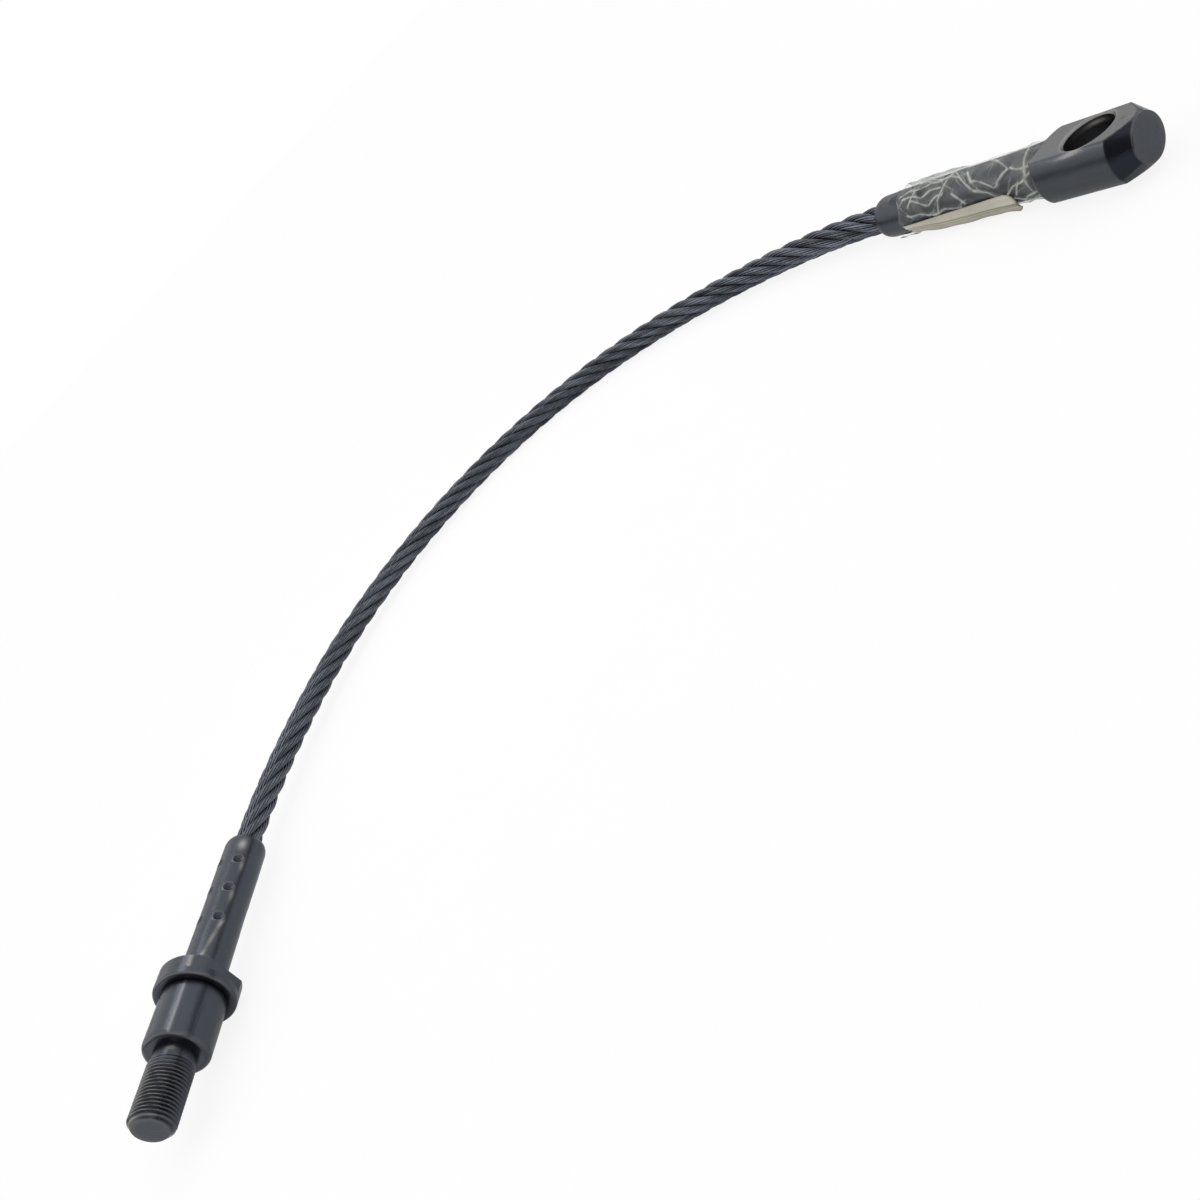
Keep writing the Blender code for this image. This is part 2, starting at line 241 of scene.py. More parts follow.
def even_steps(points, count):
    """The same line walked in equal steps of its length, and that length."""
    walked = np.concatenate([[0.0], np.cumsum(np.linalg.norm(np.diff(points, axis=0), axis=1))])
    at = np.linspace(0.0, walked[-1], count)
    return np.stack([np.interp(at, walked, column) for column in points.T], axis=1), walked[-1]


start_heading, end_heading = np.array([1.0, 0.0]), eye_heading[:2]
rope_spline = clamped_spline(ROPE_ROUTE, start_heading, end_heading)
free_line, rope_length = even_steps(along_spline(rope_spline, FINE_STEPS), LINE_STEPS)
whole_line = np.concatenate([[free_line[0] - BURIED * start_heading], free_line,
                             [free_line[-1] + BURIED * end_heading]])
print(f"free rope: {rope_length:.1f} mm between the mouths")

# %% [markdown]
# The strands are helices round that line and the wires are helices round the strands.
# Both come from one rule: a point is the centre plus a radius times the cosine and the
# sine of an angle that grows along the rope, on two directions square to it.  As the
# frame of each strand turns with the strand, the wires' own turn is counted against it.

# %% Strands and wires
STRANDS = 6
WIRES = 9
STRAND_DIAMETER = ROPE_DIAMETER / 3
STRAND_LAY = 53.0               # length in which a strand winds once round the rope
WIRE_LAY = 20.0                 # length in which a wire winds once round its strand
WIRE_DIAMETER = 0.70
CORE_RADIUS = STRAND_DIAMETER / 2 - 0.6 * WIRE_DIAMETER    # of each strand, under its wires
ALONG_STEPS = 250
TUBE_SIDES = 6


def helix(centre, ahead, outward, radius, angle):
    """Points round a centre line, and the direction from the line to each of them.

    The direction is the cosine of the angle times outward plus its sine times the side.
    """
    side = np.cross(ahead, outward)
    direction = np.cos(angle)[..., None] * outward + np.sin(angle)[..., None] * side
    return centre + radius * direction, direction


def headings(points):
    """The way each line runs: the step from one neighbour to the next, made one long."""
    return unit(np.gradient(points, axis=-2))


def tubes(centres, outward, radius, sides):
    """Rings of points round many lines at once: shape (lines, along, sides, 3).

    Each ring is the cosine and the sine of an angle on two directions square to its line.
    """
    ahead = headings(centres)
    first = unit(outward - np.sum(outward * ahead, axis=-1, keepdims=True) * ahead)
    second = np.cross(ahead, first)
    angle = np.linspace(0.0, math.tau, sides, endpoint=False)[:, None]
    ring = np.cos(angle) * first[..., None, :] + np.sin(angle) * second[..., None, :]
    return centres[..., None, :] + radius * ring


def tube_faces(lines, along, sides):
    """Quads of every tube's wall and the two caps that close it."""
    wall = grid_quads(along, sides, True)
    shift = np.arange(lines)[:, None, None] * along * sides
    ring = np.arange(sides)
    caps = [(ring[::-1] + line * along * sides).tolist() for line in range(lines)]
    caps += [(ring + (line * along + along - 1) * sides).tolist() for line in range(lines)]
    return (wall[None] + shift).reshape(-1, 4), caps


middle, whole_length = even_steps(whole_line, ALONG_STEPS)
middle = np.column_stack([middle, np.zeros(ALONG_STEPS)])
walked = np.linspace(0.0, whole_length, ALONG_STEPS)
ahead = headings(middle)
plane_up = np.broadcast_to([0.0, 0.0, 1.0], middle.shape)

# %% The wires' lines
strand_turn = (math.tau * np.arange(STRANDS)[:, None] / STRANDS
               + math.tau * walked[None, :] / STRAND_LAY)
strand_lines, strand_out = helix(middle, ahead, plane_up, STRAND_DIAMETER, strand_turn)
strand_start = np.arange(STRANDS)[:, None, None]    # so that no two strands look alike
wire_turn = (math.tau * np.arange(WIRES)[None, :, None] / WIRES + strand_start
             - math.tau * walked[None, None, :] / WIRE_LAY)
wire_lines, wire_out = helix(
    strand_lines[:, None], headings(strand_lines)[:, None], strand_out[:, None],
    (STRAND_DIAMETER - WIRE_DIAMETER) / 2, wire_turn)
print(f"{STRANDS} strands of {WIRES} wires, {whole_length:.1f} mm with what the sleeves hide")

# %% The wires as tubes
wire_rings = tubes(wire_lines.reshape(-1, ALONG_STEPS, 3),
                   wire_out.reshape(-1, ALONG_STEPS, 3), WIRE_DIAMETER / 2, TUBE_SIDES)
core_rings = tubes(np.concatenate([strand_lines, middle[None]]),
                   np.concatenate([strand_out, plane_up[None]]), CORE_RADIUS, TUBE_SIDES)
rings = np.concatenate([wire_rings, core_rings])
quads, caps = tube_faces(len(rings), ALONG_STEPS, TUBE_SIDES)
rope_mesh = raw_mesh("wire_rope_laid", rope_place.world(rings), quads, caps)

# %% [markdown]
# No two wires of a rope are equally dark.  Each gets a tone of its own and a slow drift
# along its length, and painted shade darkens the cores and what lies deep between the
# strands.  The outermost crowns are kept as a second value, for painted highlights where
# the wires catch the lamp.

# %% Tones of the wires, and painted shade between the strands
WIRE_TONES = 0.10               # how far the wires' tones spread, where 1 is twice as bright
TONE_DRIFT = 0.02               # how much a tone changes from one ring to the next
# painted shade: the cores show only deep in the gaps, so they are made darker
CORE_SHADE = -0.5
VALLEY_SHADE = -0.12
VALLEY_FLOOR, VALLEY_HEIGHT = 0.50, 0.35    # these and the next in shares of the rope's radius
CROWN_FLOOR, CROWN_HEIGHT = 0.966, 0.030

rope_random = np.random.default_rng(7)
wire_tone = np.concatenate([rope_random.normal(0.0, WIRE_TONES, len(wire_rings)),
                            np.full(len(core_rings), CORE_SHADE)])
slow_tone = np.cumsum(rope_random.normal(0.0, TONE_DRIFT, (len(rings), ALONG_STEPS)), axis=1)
from_middle = np.linalg.norm(rings - middle[None, :, None, :], axis=-1) / (ROPE_DIAMETER / 2)
# painted shade deep between the strands
deep_shade = VALLEY_SHADE * (1 - np.clip((from_middle - VALLEY_FLOOR) / VALLEY_HEIGHT, 0.0, 1.0))
tone_and_shade = wire_tone[:, None, None] + slow_tone[..., None] + deep_shade
store(rope_mesh, "tone_and_shade", np.clip(tone_and_shade, -0.85, 0.6))
# painted highlights on the outermost crowns of the wires
store(rope_mesh, "crown_highlight", np.clip((from_middle - CROWN_FLOOR) / CROWN_HEIGHT, 0.0, 1.0))
rope_mesh.shade_smooth()
print("tone changes from", tone_and_shade.min().round(2), "to", tone_and_shade.max().round(2))

# %% The rope's piece, and points along its middle line
rope = add_piece("wire_rope_laid", rope_mesh, "rope_steel", "wire_rope")

cord_line = free_line[::10]
path = rope_place.world(np.column_stack([cord_line, np.zeros(len(cord_line))]))

# %% [markdown]
# ## Turned surfaces
#
# Both terminals were turned on a lathe, so each starts as a profile of points along the
# axis and away from it.  A profile carried round the axis gives a grid: one row for
# each point of the profile, and one column for each angle.  What the lathe did not
# make, such as the wrench flats, the thread and the dents, then changes the radius of
# single points of that grid, before it becomes a mesh.

# %% Profiles
def straight(start, end, count):
    """A straight stretch of a profile in equal steps, both ends included."""
    share = np.linspace(0.0, 1.0, count + 1)[:, None]
    return (1 - share) * np.array(start, dtype=float) + share * np.array(end, dtype=float)


def rounding(centre, radii, start, end, count):
    """A quarter round of a profile: its centre plus two radii times cosine and sine."""
    angle = np.radians(np.linspace(start, end, count + 1))
    return np.column_stack([centre[0] + radii[0] * np.cos(angle),
                            centre[1] + radii[1] * np.sin(angle)])


def ramp(values, low, high):
    """0 below low, 1 above high: three times the share's square less twice its cube."""
    share = np.clip((values - low) / (high - low), 0.0, 1.0)
    return share * share * (3 - 2 * share)


def softer_minimum(first, second, blend):
    """The smaller of two values, less a little where they are nearly equal.

    That little is a quarter of the blend, times the square of how far they overlap: 1
    less their distance over the blend.  It rounds the corner between the two.
    """
    overlap = np.maximum(blend - np.abs(first - second), 0.0) / blend
    return np.minimum(first, second) - overlap**2 * blend / 4


def turned_points(along, radius, angles):
    """A grid of points: the radius times the sine and the cosine of each column's angle."""
    along = np.broadcast_to(along[:, None], radius.shape)
    return np.stack([along, radius * np.sin(angles), radius * np.cos(angles)], axis=-1)


# %% [markdown]
# ### Dents
#
# The pressing dies left rows of three round dents in each sleeve.  They could be cut
# out with small spheres, which leaves long thin triangles round each.  As changes of
# the radius they need no cutting, and the pressed-up rim comes from the same formula.

# %% Dents
DENT_DIAMETER = 2.8
DENT_DEPTH = 0.6
DENT_SPACING = 10.9
DENTS_IN_ROW = 3
RIM_HEIGHT, RIM_AT, RIM_WIDTH = 0.09, 1.15, 0.18    # the last two in shares of a dent's radius
FAR_FROM_DENTS = 9.0


def bump(values, middle, width):
    """A bell curve: e to the minus square of the distance from the middle over the width."""
    return np.exp(-((values - middle) / width)**2)


def turned_by(angles, middle):
    """The angle from a middle, between minus and plus half a turn."""
    return (angles - middle + math.pi) % math.tau - math.pi


def dent_centres(first, rows_at):
    """Places along and round the sleeve of the dents in each row."""
    return [(first + number * DENT_SPACING, math.radians(row))
            for row in rows_at for number in range(DENTS_IN_ROW)]


def dent_reach(along, angles, radius, centres):
    """For every point, its distance from the nearest dent's middle, where 1 is the dent's edge."""
    nearest = np.full((len(along), len(angles)), FAR_FROM_DENTS)
    for at, angle in centres:
        sideways = radius * turned_by(angles, angle)[None, :]
        away = np.hypot(along[:, None] - at, sideways)
        nearest = np.minimum(nearest, away / (DENT_DIAMETER / 2))
    return nearest


def dent_depth(reach):
    """How far a point sinks: 1 less the reach squared, to a power, less a bell for the rim."""
    bowl = DENT_DEPTH * np.clip(1 - reach**2, 0.0, None)**0.7
    return bowl - RIM_HEIGHT * bump(reach, RIM_AT, RIM_WIDTH)


# %% [markdown]
# ## The stud terminal
#
# From the rope outwards: a sleeve with a rounded mouth, a flange with two wrench flats
# and a round lip after them, a plain shank, a short relief and a fine thread with a
# bevelled end.  The flats are the smaller of two radii, that of the round and that of a plane at
# a fixed distance from the axis.  The thread is one ridge winding to the right: the
# height of a point depends on its place along the axis plus its share of a turn.

# %% The stud's profile
SLEEVE_RADIUS = 6.1
SLEEVE_NOSE = 2.6
BORE_RADIUS = ROPE_DIAMETER / 2 + 0.3
BORE_DEPTH = 39.3
MOUTH_RADIUS = BORE_RADIUS + 0.7
FLANGE_START, FLANGE_END, FLANGE_RADIUS, FLANGE_EDGE = 50.3, 56.3, 10.9, 0.9
LIP_START = FLANGE_END - 2.4
FLAT_DISTANCE = 9.1
FLAT_TURN = math.radians(96.5)
SHANK_END, SHANK_RADIUS, SHANK_EDGE = 72.8, 8.6, 1.5
RELIEF_END, RELIEF_RADIUS = 76.2, 5.6
THREAD_START = RELIEF_END + 0.3
THREAD_RADIUS, THREAD_PITCH, THREAD_DEPTH = 5.9, 1.0, 0.55
POINT_LENGTH, POINT_DEPTH = 1.4, 1.3


def sleeve_profile(length, steps):
    """The blind bore that holds the rope, the rounded mouth, and the outside."""
    return [
        straight((BORE_DEPTH, 0.0), (BORE_DEPTH, BORE_RADIUS), 3),
        straight((BORE_DEPTH, BORE_RADIUS), (0.0, BORE_RADIUS), 16),
        straight((0.0, BORE_RADIUS), (0.0, MOUTH_RADIUS), 2),
        rounding((SLEEVE_NOSE, MOUTH_RADIUS), (SLEEVE_NOSE, SLEEVE_RADIUS - MOUTH_RADIUS),
                 180.0, 90.0, 14),
        straight((SLEEVE_NOSE, SLEEVE_RADIUS), (length, SLEEVE_RADIUS), steps)]


stud_parts = {
    "sleeve": np.concatenate(sleeve_profile(FLANGE_START, 190)),
    "flange face": straight((FLANGE_START, SLEEVE_RADIUS), (FLANGE_START, FLANGE_RADIUS), 6),
    "flats": straight((FLANGE_START, FLANGE_RADIUS), (LIP_START, FLANGE_RADIUS), 8),
    "lip": np.concatenate([
        straight((LIP_START, FLANGE_RADIUS), (FLANGE_END - FLANGE_EDGE, FLANGE_RADIUS), 4),
        rounding((FLANGE_END - FLANGE_EDGE, FLANGE_RADIUS - FLANGE_EDGE),
                 (FLANGE_EDGE, FLANGE_EDGE), 90.0, 0.0, 8)]),
    "shank": np.concatenate([
        straight((FLANGE_END, FLANGE_RADIUS - FLANGE_EDGE), (FLANGE_END, SHANK_RADIUS), 3),
        straight((FLANGE_END, SHANK_RADIUS), (SHANK_END - SHANK_EDGE, SHANK_RADIUS), 24),
        rounding((SHANK_END - SHANK_EDGE, SHANK_RADIUS - SHANK_EDGE),
                 (SHANK_EDGE, SHANK_EDGE), 90.0, 0.0, 8),
        straight((SHANK_END, SHANK_RADIUS - SHANK_EDGE), (SHANK_END, RELIEF_RADIUS), 3)]),
    "thread": np.concatenate([
        straight((SHANK_END, RELIEF_RADIUS), (RELIEF_END, RELIEF_RADIUS), 8),
        straight((RELIEF_END, RELIEF_RADIUS), (THREAD_START, THREAD_RADIUS), 2)[1:],
        straight((THREAD_START, THREAD_RADIUS), (STUD_TIP - POINT_LENGTH, THREAD_RADIUS), 135)[1:],
        straight((STUD_TIP - POINT_LENGTH, THREAD_RADIUS),
                 (STUD_TIP, THREAD_RADIUS - POINT_DEPTH), 14)[1:],
        straight((STUD_TIP, THREAD_RADIUS - POINT_DEPTH), (STUD_TIP, 0.0), 3)])}
stud_profile = np.concatenate(list(stud_parts.values()))
stud_part = np.repeat(list(stud_parts), [len(part) for part in stud_parts.values()])
print("the stud's profile:", len(stud_profile), "points,", stud_profile[:, 0].max(), "mm long")

# %% The stud's surface
STUD_COLUMNS = 192
STUD_DENT_FIRST = 10.8          # place of the first dent in each row
STUD_DENT_ROWS = (-6.0, 52.0, 174.0, 232.0)     # degrees round the sleeve
PRESSED_IN, PRESSED_AT, PRESSED_WIDTH = 0.10, 27.0, 9.0    # the sleeve's waist between the dies
THREAD_RUN_IN = 4.0             # length in which the thread reaches its full depth
SHALLOW = 0.25                  # the thread's share of its depth where it starts
SMALLEST_COSINE = 0.05          # keeps a plane's radius finite where it turns away

angles = np.linspace(-math.pi, math.pi, STUD_COLUMNS, endpoint=False)
# the columns nearest to the edges of the flats are moved on to them, to keep them sharp
flat_half = math.acos(FLAT_DISTANCE / FLANGE_RADIUS)
for edge in (FLAT_TURN - flat_half, FLAT_TURN + flat_half,
             FLAT_TURN - flat_half - math.pi, FLAT_TURN + flat_half - math.pi):
    angles[np.argmin(np.abs(turned_by(angles, edge)))] = edge

along, profile_radius = stud_profile.T
radius = np.repeat(profile_radius[:, None], STUD_COLUMNS, axis=1)

outside = (stud_part == "sleeve") & (profile_radius >= MOUTH_RADIUS)
radius[outside] -= (PRESSED_IN * bump(along[outside], PRESSED_AT, PRESSED_WIDTH))[:, None]
stud_reach = dent_reach(along, angles, SLEEVE_RADIUS, dent_centres(STUD_DENT_FIRST, STUD_DENT_ROWS))
stud_reach[~outside] = FAR_FROM_DENTS
radius -= dent_depth(stud_reach)

plane = FLAT_DISTANCE / np.maximum(np.abs(np.cos(angles - FLAT_TURN)), SMALLEST_COSINE)
milled = np.isin(stud_part, ["flats", "flange face"])
radius[milled] = np.minimum(radius[milled], plane)

ridge = np.cos(math.tau * (along[:, None] / THREAD_PITCH + angles / math.tau))
run_in = ramp(along, RELIEF_END, RELIEF_END + THREAD_RUN_IN)
cut = (SHALLOW + (1 - SHALLOW) * run_in)[:, None]
groove = THREAD_DEPTH * (0.5 - 0.5 * ridge)**0.8
threaded = (stud_part == "thread") & (along > RELIEF_END) & (along < STUD_TIP)
threaded &= profile_radius > RELIEF_RADIUS - POINT_DEPTH
radius[threaded] = np.minimum(radius, THREAD_RADIUS - groove * cut)[threaded]

stud_points = turned_points(along, radius, angles)
stud_mesh = raw_mesh("stud_terminal_turned", stud_place.world(stud_points),
                     grid_quads(len(along), STUD_COLUMNS, True))
print("threaded rows:", threaded.sum(), "dented points:", (stud_reach < 1.0).sum())

# %% [markdown]
# ### Painted highlights and painted shade on the stud
#
# A finish needs to know more than the shape.  Painted highlights stand in for the lamp's
# reflection: streaks along the sleeve, a patch at its mouth, lines on the shank and the
# flats, the rims of the dents, the outer edges, a glint in the relief and the crests of
# the thread.  Painted shade darkens the dents, the corners at both faces of the flange,
# the relief and the roots of the thread, and a painted dark reflection runs down one
# side of the thread.
# Both are worked out here, point by point, and kept in the mesh for the material.
# A mark is a line along the bar, a ring round it, or one of them cut short by a bump.

# %% Marks along and round a bar
def line_mark(angles, radius, turn, width):
    """1 at an angle in degrees, falling off over a width that is measured round the bar."""
    return bump(radius * turned_by(angles, math.radians(turn)), 0.0, width)


def ring_mark(along, radius, at, out, width):
    """1 at one point of the bar's section, falling off with the distance from it."""
    return bump(np.hypot(along - at, radius - out), 0.0, width)


def lit_side(angles, level, change, turn):
    """A level that falls by the sine of the angle from a turn in degrees: it makes painted
    highlights stronger on the side towards the lamp.
    """
    return level - change * np.sin(turned_by(angles, math.radians(turn)))


# %% Painted highlights on the stud
# the line of the painted highlight streaks on the sleeve: place along the sleeve, angle round it in
# degrees
SLEEVE_HIGHLIGHT_LINE = np.array([(8.0, 67.0), (34.0, 66.0), (38.0, 58.0), (49.0, 39.0)])
# strength, place along that line, half length
SLEEVE_HIGHLIGHTS = ((0.5, 13.2, 2.0), (0.5, 24.5, 2.2), (0.75, 35.0, 1.6), (0.45, 40.5, 3.0),
             (0.8, 47.0, 2.2))
SLEEVE_HIGHLIGHT_WIDTH = 0.55
# place along the stud, distance from its axis, width, strength
EDGE_HIGHLIGHTS = (
    (FLANGE_START, FLANGE_RADIUS, 0.3, 0.16), (FLANGE_END - 0.3, FLANGE_RADIUS - 0.3, 0.4, 0.20),
    (SHANK_END - 0.5, SHANK_RADIUS - 0.5, 0.5, 0.18),
    (STUD_TIP - 0.1, THREAD_RADIUS - POINT_DEPTH, 0.35, 0.16))

# painted highlight streaks along the sleeve, where the lamp's reflection falls
highlight_line_turn = np.radians(np.interp(along, *SLEEVE_HIGHLIGHT_LINE.T))
highlight_strength = sum(strength * bump(along, at, half) for strength, at, half in SLEEVE_HIGHLIGHTS)
off_highlight_line = turned_by(angles[None, :], highlight_line_turn[:, None])
painted_highlight = highlight_strength[:, None] * bump(SLEEVE_RADIUS * off_highlight_line, 0.0, SLEEVE_HIGHLIGHT_WIDTH)
# a painted highlight patch near the sleeve's mouth
painted_highlight += 0.8 * bump(along, 5.0, 1.8)[:, None] * line_mark(angles, SLEEVE_RADIUS, 50.0, 1.1)
painted_highlight[~outside] = 0.0

on_shank = (along > FLANGE_END + 0.5) & (along < SHANK_END - 0.8) & (stud_part == "shank")
on_flats = (along > FLANGE_START + 0.4) & (along < FLANGE_START + 4.0) & (stud_part == "flats")
# painted highlight lines along the shank and the flats
painted_highlight += 0.30 * on_shank[:, None] * line_mark(angles, SHANK_RADIUS, 38.0, 0.42)
painted_highlight += 0.50 * on_flats[:, None] * line_mark(angles, FLANGE_RADIUS, 40.0, 0.6)
# painted highlights on the rims of the dents
painted_highlight += 0.16 * bump(stud_reach, 1.18, 0.13)
# painted highlights on the outer edges, stronger on the side towards the lamp
for at, out, width, strength in EDGE_HIGHLIGHTS:
    painted_highlight += strength * lit_side(angles, 0.65, 0.35, 60.0) * ring_mark(
        along[:, None], radius, at, out, width)

crest = threaded[:, None] * (0.5 + 0.5 * ridge)
on_relief = bump(along, SHANK_END + 1.4, 0.6) * (stud_part == "thread")
# a painted glint in the relief, and painted highlights on the thread's crests
painted_highlight += 0.5 * on_relief[:, None] * line_mark(angles, 1.0, 46.0, 0.2)
painted_highlight += 0.70 * crest**3 * cut * lit_side(angles, 0.52, 0.48, 55.0)
store(stud_mesh, "painted_highlight", np.clip(painted_highlight, 0.0, 1.0))
print("rubbed points of the stud:", (painted_highlight > 0.1).sum(), "of", painted_highlight.size)

# %% Painted shade on the stud
relief_shade = bump(along, SHANK_END + 0.9, 1.5) * (stud_part == "thread") * (profile_radius > 0.0)
# a painted dark reflection down one side of the thread
thread_dark_reflection = 0.02 + 0.60 * line_mark(angles, 1.0, 82.0, 0.50)
# painted shade in the roots of the thread
thread_root = 0.4 * (0.5 - 0.5 * ridge) * cut

# painted shade in the dents, in the corners at both faces of the flange and in the relief
painted_shade = 0.75 * np.clip(1.1 - stud_reach, 0.0, 1.0)
painted_shade += 0.9 * bump(np.hypot(along[:, None] - FLANGE_END, 0.6 * (radius - SHANK_RADIUS)), 0.0, 0.45)
painted_shade += 0.75 * ring_mark(along[:, None], radius, FLANGE_START, SLEEVE_RADIUS, 0.6)
painted_shade += 0.7 * relief_shade[:, None] + threaded[:, None] * (thread_dark_reflection + thread_root)
store(stud_mesh, "painted_shade", np.clip(painted_shade, 0.0, 1.0))
store(stud_mesh, "turned_place", stud_points)
stud = add_piece("stud_terminal_turned", close_up(stud_mesh), "dark_steel", "stud_terminal")

# %% [markdown]
# ## The eye terminal
#
# The same sleeve ends in a thicker round head.  Its two cheeks were milled flat, its
# end was turned to a blunt cone, and a bore with broken edges goes through both
# cheeks.  The cheeks are planes, so they are again the smaller of two radii.  The bore
# goes across the axis, which a radius cannot describe, so it is cut out with a turned
# cutter and the result is kept as the piece's own mesh.

# %% The eye's profile
SHOULDER, HEAD_RADIUS, HEAD_EDGE = 57.6, 8.9, 1.1
CONE_START, EYE_TIP, NOSE_RADIUS, NOSE_EDGE = 78.5, 83.6, 5.8, 0.3
CHEEK = 6.1
EYE_BORE_AT, EYE_BORE_RADIUS, EYE_BORE_EDGE = 70.8, 6.1, 0.55

eye_parts = {
    "sleeve": np.concatenate(sleeve_profile(SHOULDER, 200)),
    "head": np.concatenate([
        straight((SHOULDER, SLEEVE_RADIUS), (SHOULDER, HEAD_RADIUS - HEAD_EDGE), 4),
        rounding((SHOULDER + HEAD_EDGE, HEAD_RADIUS - HEAD_EDGE),
                 (HEAD_EDGE, HEAD_EDGE), 180.0, 90.0, 7),
        straight((SHOULDER + HEAD_EDGE, HEAD_RADIUS), (CONE_START, HEAD_RADIUS), 50),
        straight((CONE_START, HEAD_RADIUS), (EYE_TIP - NOSE_EDGE, NOSE_RADIUS), 16)]),
    "end": np.concatenate([
        rounding((EYE_TIP - NOSE_EDGE, NOSE_RADIUS - NOSE_EDGE),
                 (NOSE_EDGE, NOSE_EDGE), 90.0, 0.0, 4),
        straight((EYE_TIP, NOSE_RADIUS - NOSE_EDGE), (EYE_TIP, 0.0), 3)])}
eye_profile = np.concatenate(list(eye_parts.values()))
eye_part = np.repeat(list(eye_parts), [len(part) for part in eye_parts.values()])
print("the eye's profile:", len(eye_profile), "points,", eye_profile[:, 0].max(), "mm long")

# %% [markdown]
# The pressing left the sleeve a little thicker towards the head, and on the outer side
# the shoulder runs out in a long slope instead of a step.  Both follow the sine of the
# angle, which is 1 half way between the cheeks and 0 on them.

# %% The eye's surface
EYE_COLUMNS = 168
EYE_DENT_FIRST = 8.1
EYE_DENT_ROWS = (-22.0, 36.0, 158.0, 216.0)
NECK_GROWTH, OUTER_GROWTH = 0.45, 0.8
MOUTH_TAPER, TAPER_START, TAPER_END = 0.2, 2.0, 16.0
SHORT_SLOPE, LONG_SLOPE = 0.1, 6.0      # length of the shoulder on the inner and outer side
SLOPE_HEIGHT = 6.0
SHOULDER_BLEND, CHEEK_BLEND = 0.8, 0.22


def neck_growth(along, angles):
    """How much the sleeve thickens towards the head: on both sides, and more on the outer one."""
    both = NECK_GROWTH * ramp(along, 44.0, 57.0) * np.sin(angles)**2
    outer = ramp(along, 51.0, SHOULDER + 0.5) * np.clip(np.sin(angles), 0.0, 1.0)**2
    return both + OUTER_GROWTH * outer


angles = np.linspace(-math.pi, math.pi, EYE_COLUMNS, endpoint=False)
along, profile_radius = eye_profile.T
radius = np.repeat(profile_radius[:, None], EYE_COLUMNS, axis=1)
outside = (eye_part == "sleeve") & (profile_radius >= MOUTH_RADIUS)
grown = neck_growth(along[:, None], angles)
taper = MOUTH_TAPER * (1 - ramp(along, TAPER_START, TAPER_END))
radius[outside] += grown[outside] - taper[outside, None]
eye_reach = dent_reach(along, angles, SLEEVE_RADIUS, dent_centres(EYE_DENT_FIRST, EYE_DENT_ROWS))
eye_reach[~outside] = FAR_FROM_DENTS
radius -= dent_depth(eye_reach)
head = eye_part != "sleeve"
slope_length = SHORT_SLOPE + LONG_SLOPE * np.clip(np.sin(angles), 0.0, 1.0)**1.5
past_shoulder = np.clip(along[:, None] - SHOULDER, 0.0, None) / slope_length
rise = SLEEVE_RADIUS + grown + SLOPE_HEIGHT * past_shoulder**1.3
on_head = (eye_part == "head") & (profile_radius > SLEEVE_RADIUS + NECK_GROWTH)
radius[on_head] = softer_minimum(radius, rise, SHOULDER_BLEND)[on_head]
cheek_plane = CHEEK / np.maximum(np.abs(np.cos(angles)), SMALLEST_COSINE)
radius[head] = softer_minimum(radius[head], cheek_plane[None, :], CHEEK_BLEND)
radius[profile_radius == 0.0] = 0.0
print("the head's widest point is", round(2 * radius[head].max(), 1), "mm across")

eye_mesh = raw_mesh("eye_terminal_bored", turned_points(along, radius, angles),
                    grid_quads(len(along), EYE_COLUMNS, True))
close_up(eye_mesh)

# %% [markdown]
# The cutter is a turned shape too, about an axis square to the eye's: a cylinder as
# wide as the bore, which widens at 45 degrees where it leaves each cheek.  A Boolean
# takes it out of the head, and its wall becomes the bore's wall, row by row.

# %% Boring the eye
CUTTER_COLUMNS = 96
WALL_ROWS = 12                  # from a cheek to the middle of the bore
MIDDLE_GAP = 0.4                # from the middle of the bore to the nearest row


def cross_cutter(name, profile, columns, at):
    """A closed turned shape about the cross bore's own axis, +Z, at a place along the eye."""
    round_angles = np.linspace(-math.pi, math.pi, columns, endpoint=False)
    grid = turned_points(profile[:, 0], np.repeat(profile[:, 1:], columns, axis=1), round_angles)
    upright = np.stack([at + grid[..., 2], grid[..., 1], grid[..., 0]], axis=-1)
    return close_up(raw_mesh(name, upright, grid_quads(len(profile), columns, True)))


reach = CHEEK + 2 * EYE_BORE_EDGE
wide = EYE_BORE_RADIUS + 3 * EYE_BORE_EDGE
half_wall = straight((CHEEK - EYE_BORE_EDGE, EYE_BORE_RADIUS),
                     (MIDDLE_GAP, EYE_BORE_RADIUS), WALL_ROWS)
half_cutter = np.concatenate([[(reach, 0.0), (reach, wide)], half_wall])
bore_profile = np.concatenate([half_cutter * (-1, 1), half_cutter[::-1]])
cutter_mesh = cross_cutter("bore_cutter", bore_profile, CUTTER_COLUMNS, EYE_BORE_AT)
cutter = bpy.data.objects.new("bore_cutter", cutter_mesh)
blank = bpy.data.objects.new("eye_blank", eye_mesh)
for thing in (cutter, blank):
    bpy.context.scene.collection.objects.link(thing)
boring = blank.modifiers.new("bore", "BOOLEAN")
boring.operation, boring.solver, boring.object = "DIFFERENCE", "EXACT", cutter
bored = blank.evaluated_get(bpy.context.evaluated_depsgraph_get())
eye_mesh = bpy.data.meshes.new_from_object(bored)
eye_mesh.name = "eye_terminal_bored"
for thing in (cutter, blank):
    bpy.data.objects.remove(thing, do_unlink=True)
print("the bored eye has", len(eye_mesh.vertices), "points")


def mesh_points(mesh):
    """All points of a mesh as one array."""
    points = np.empty(3 * len(mesh.vertices))
    mesh.vertices.foreach_get("co", points)
    return points.reshape(-1, 3)


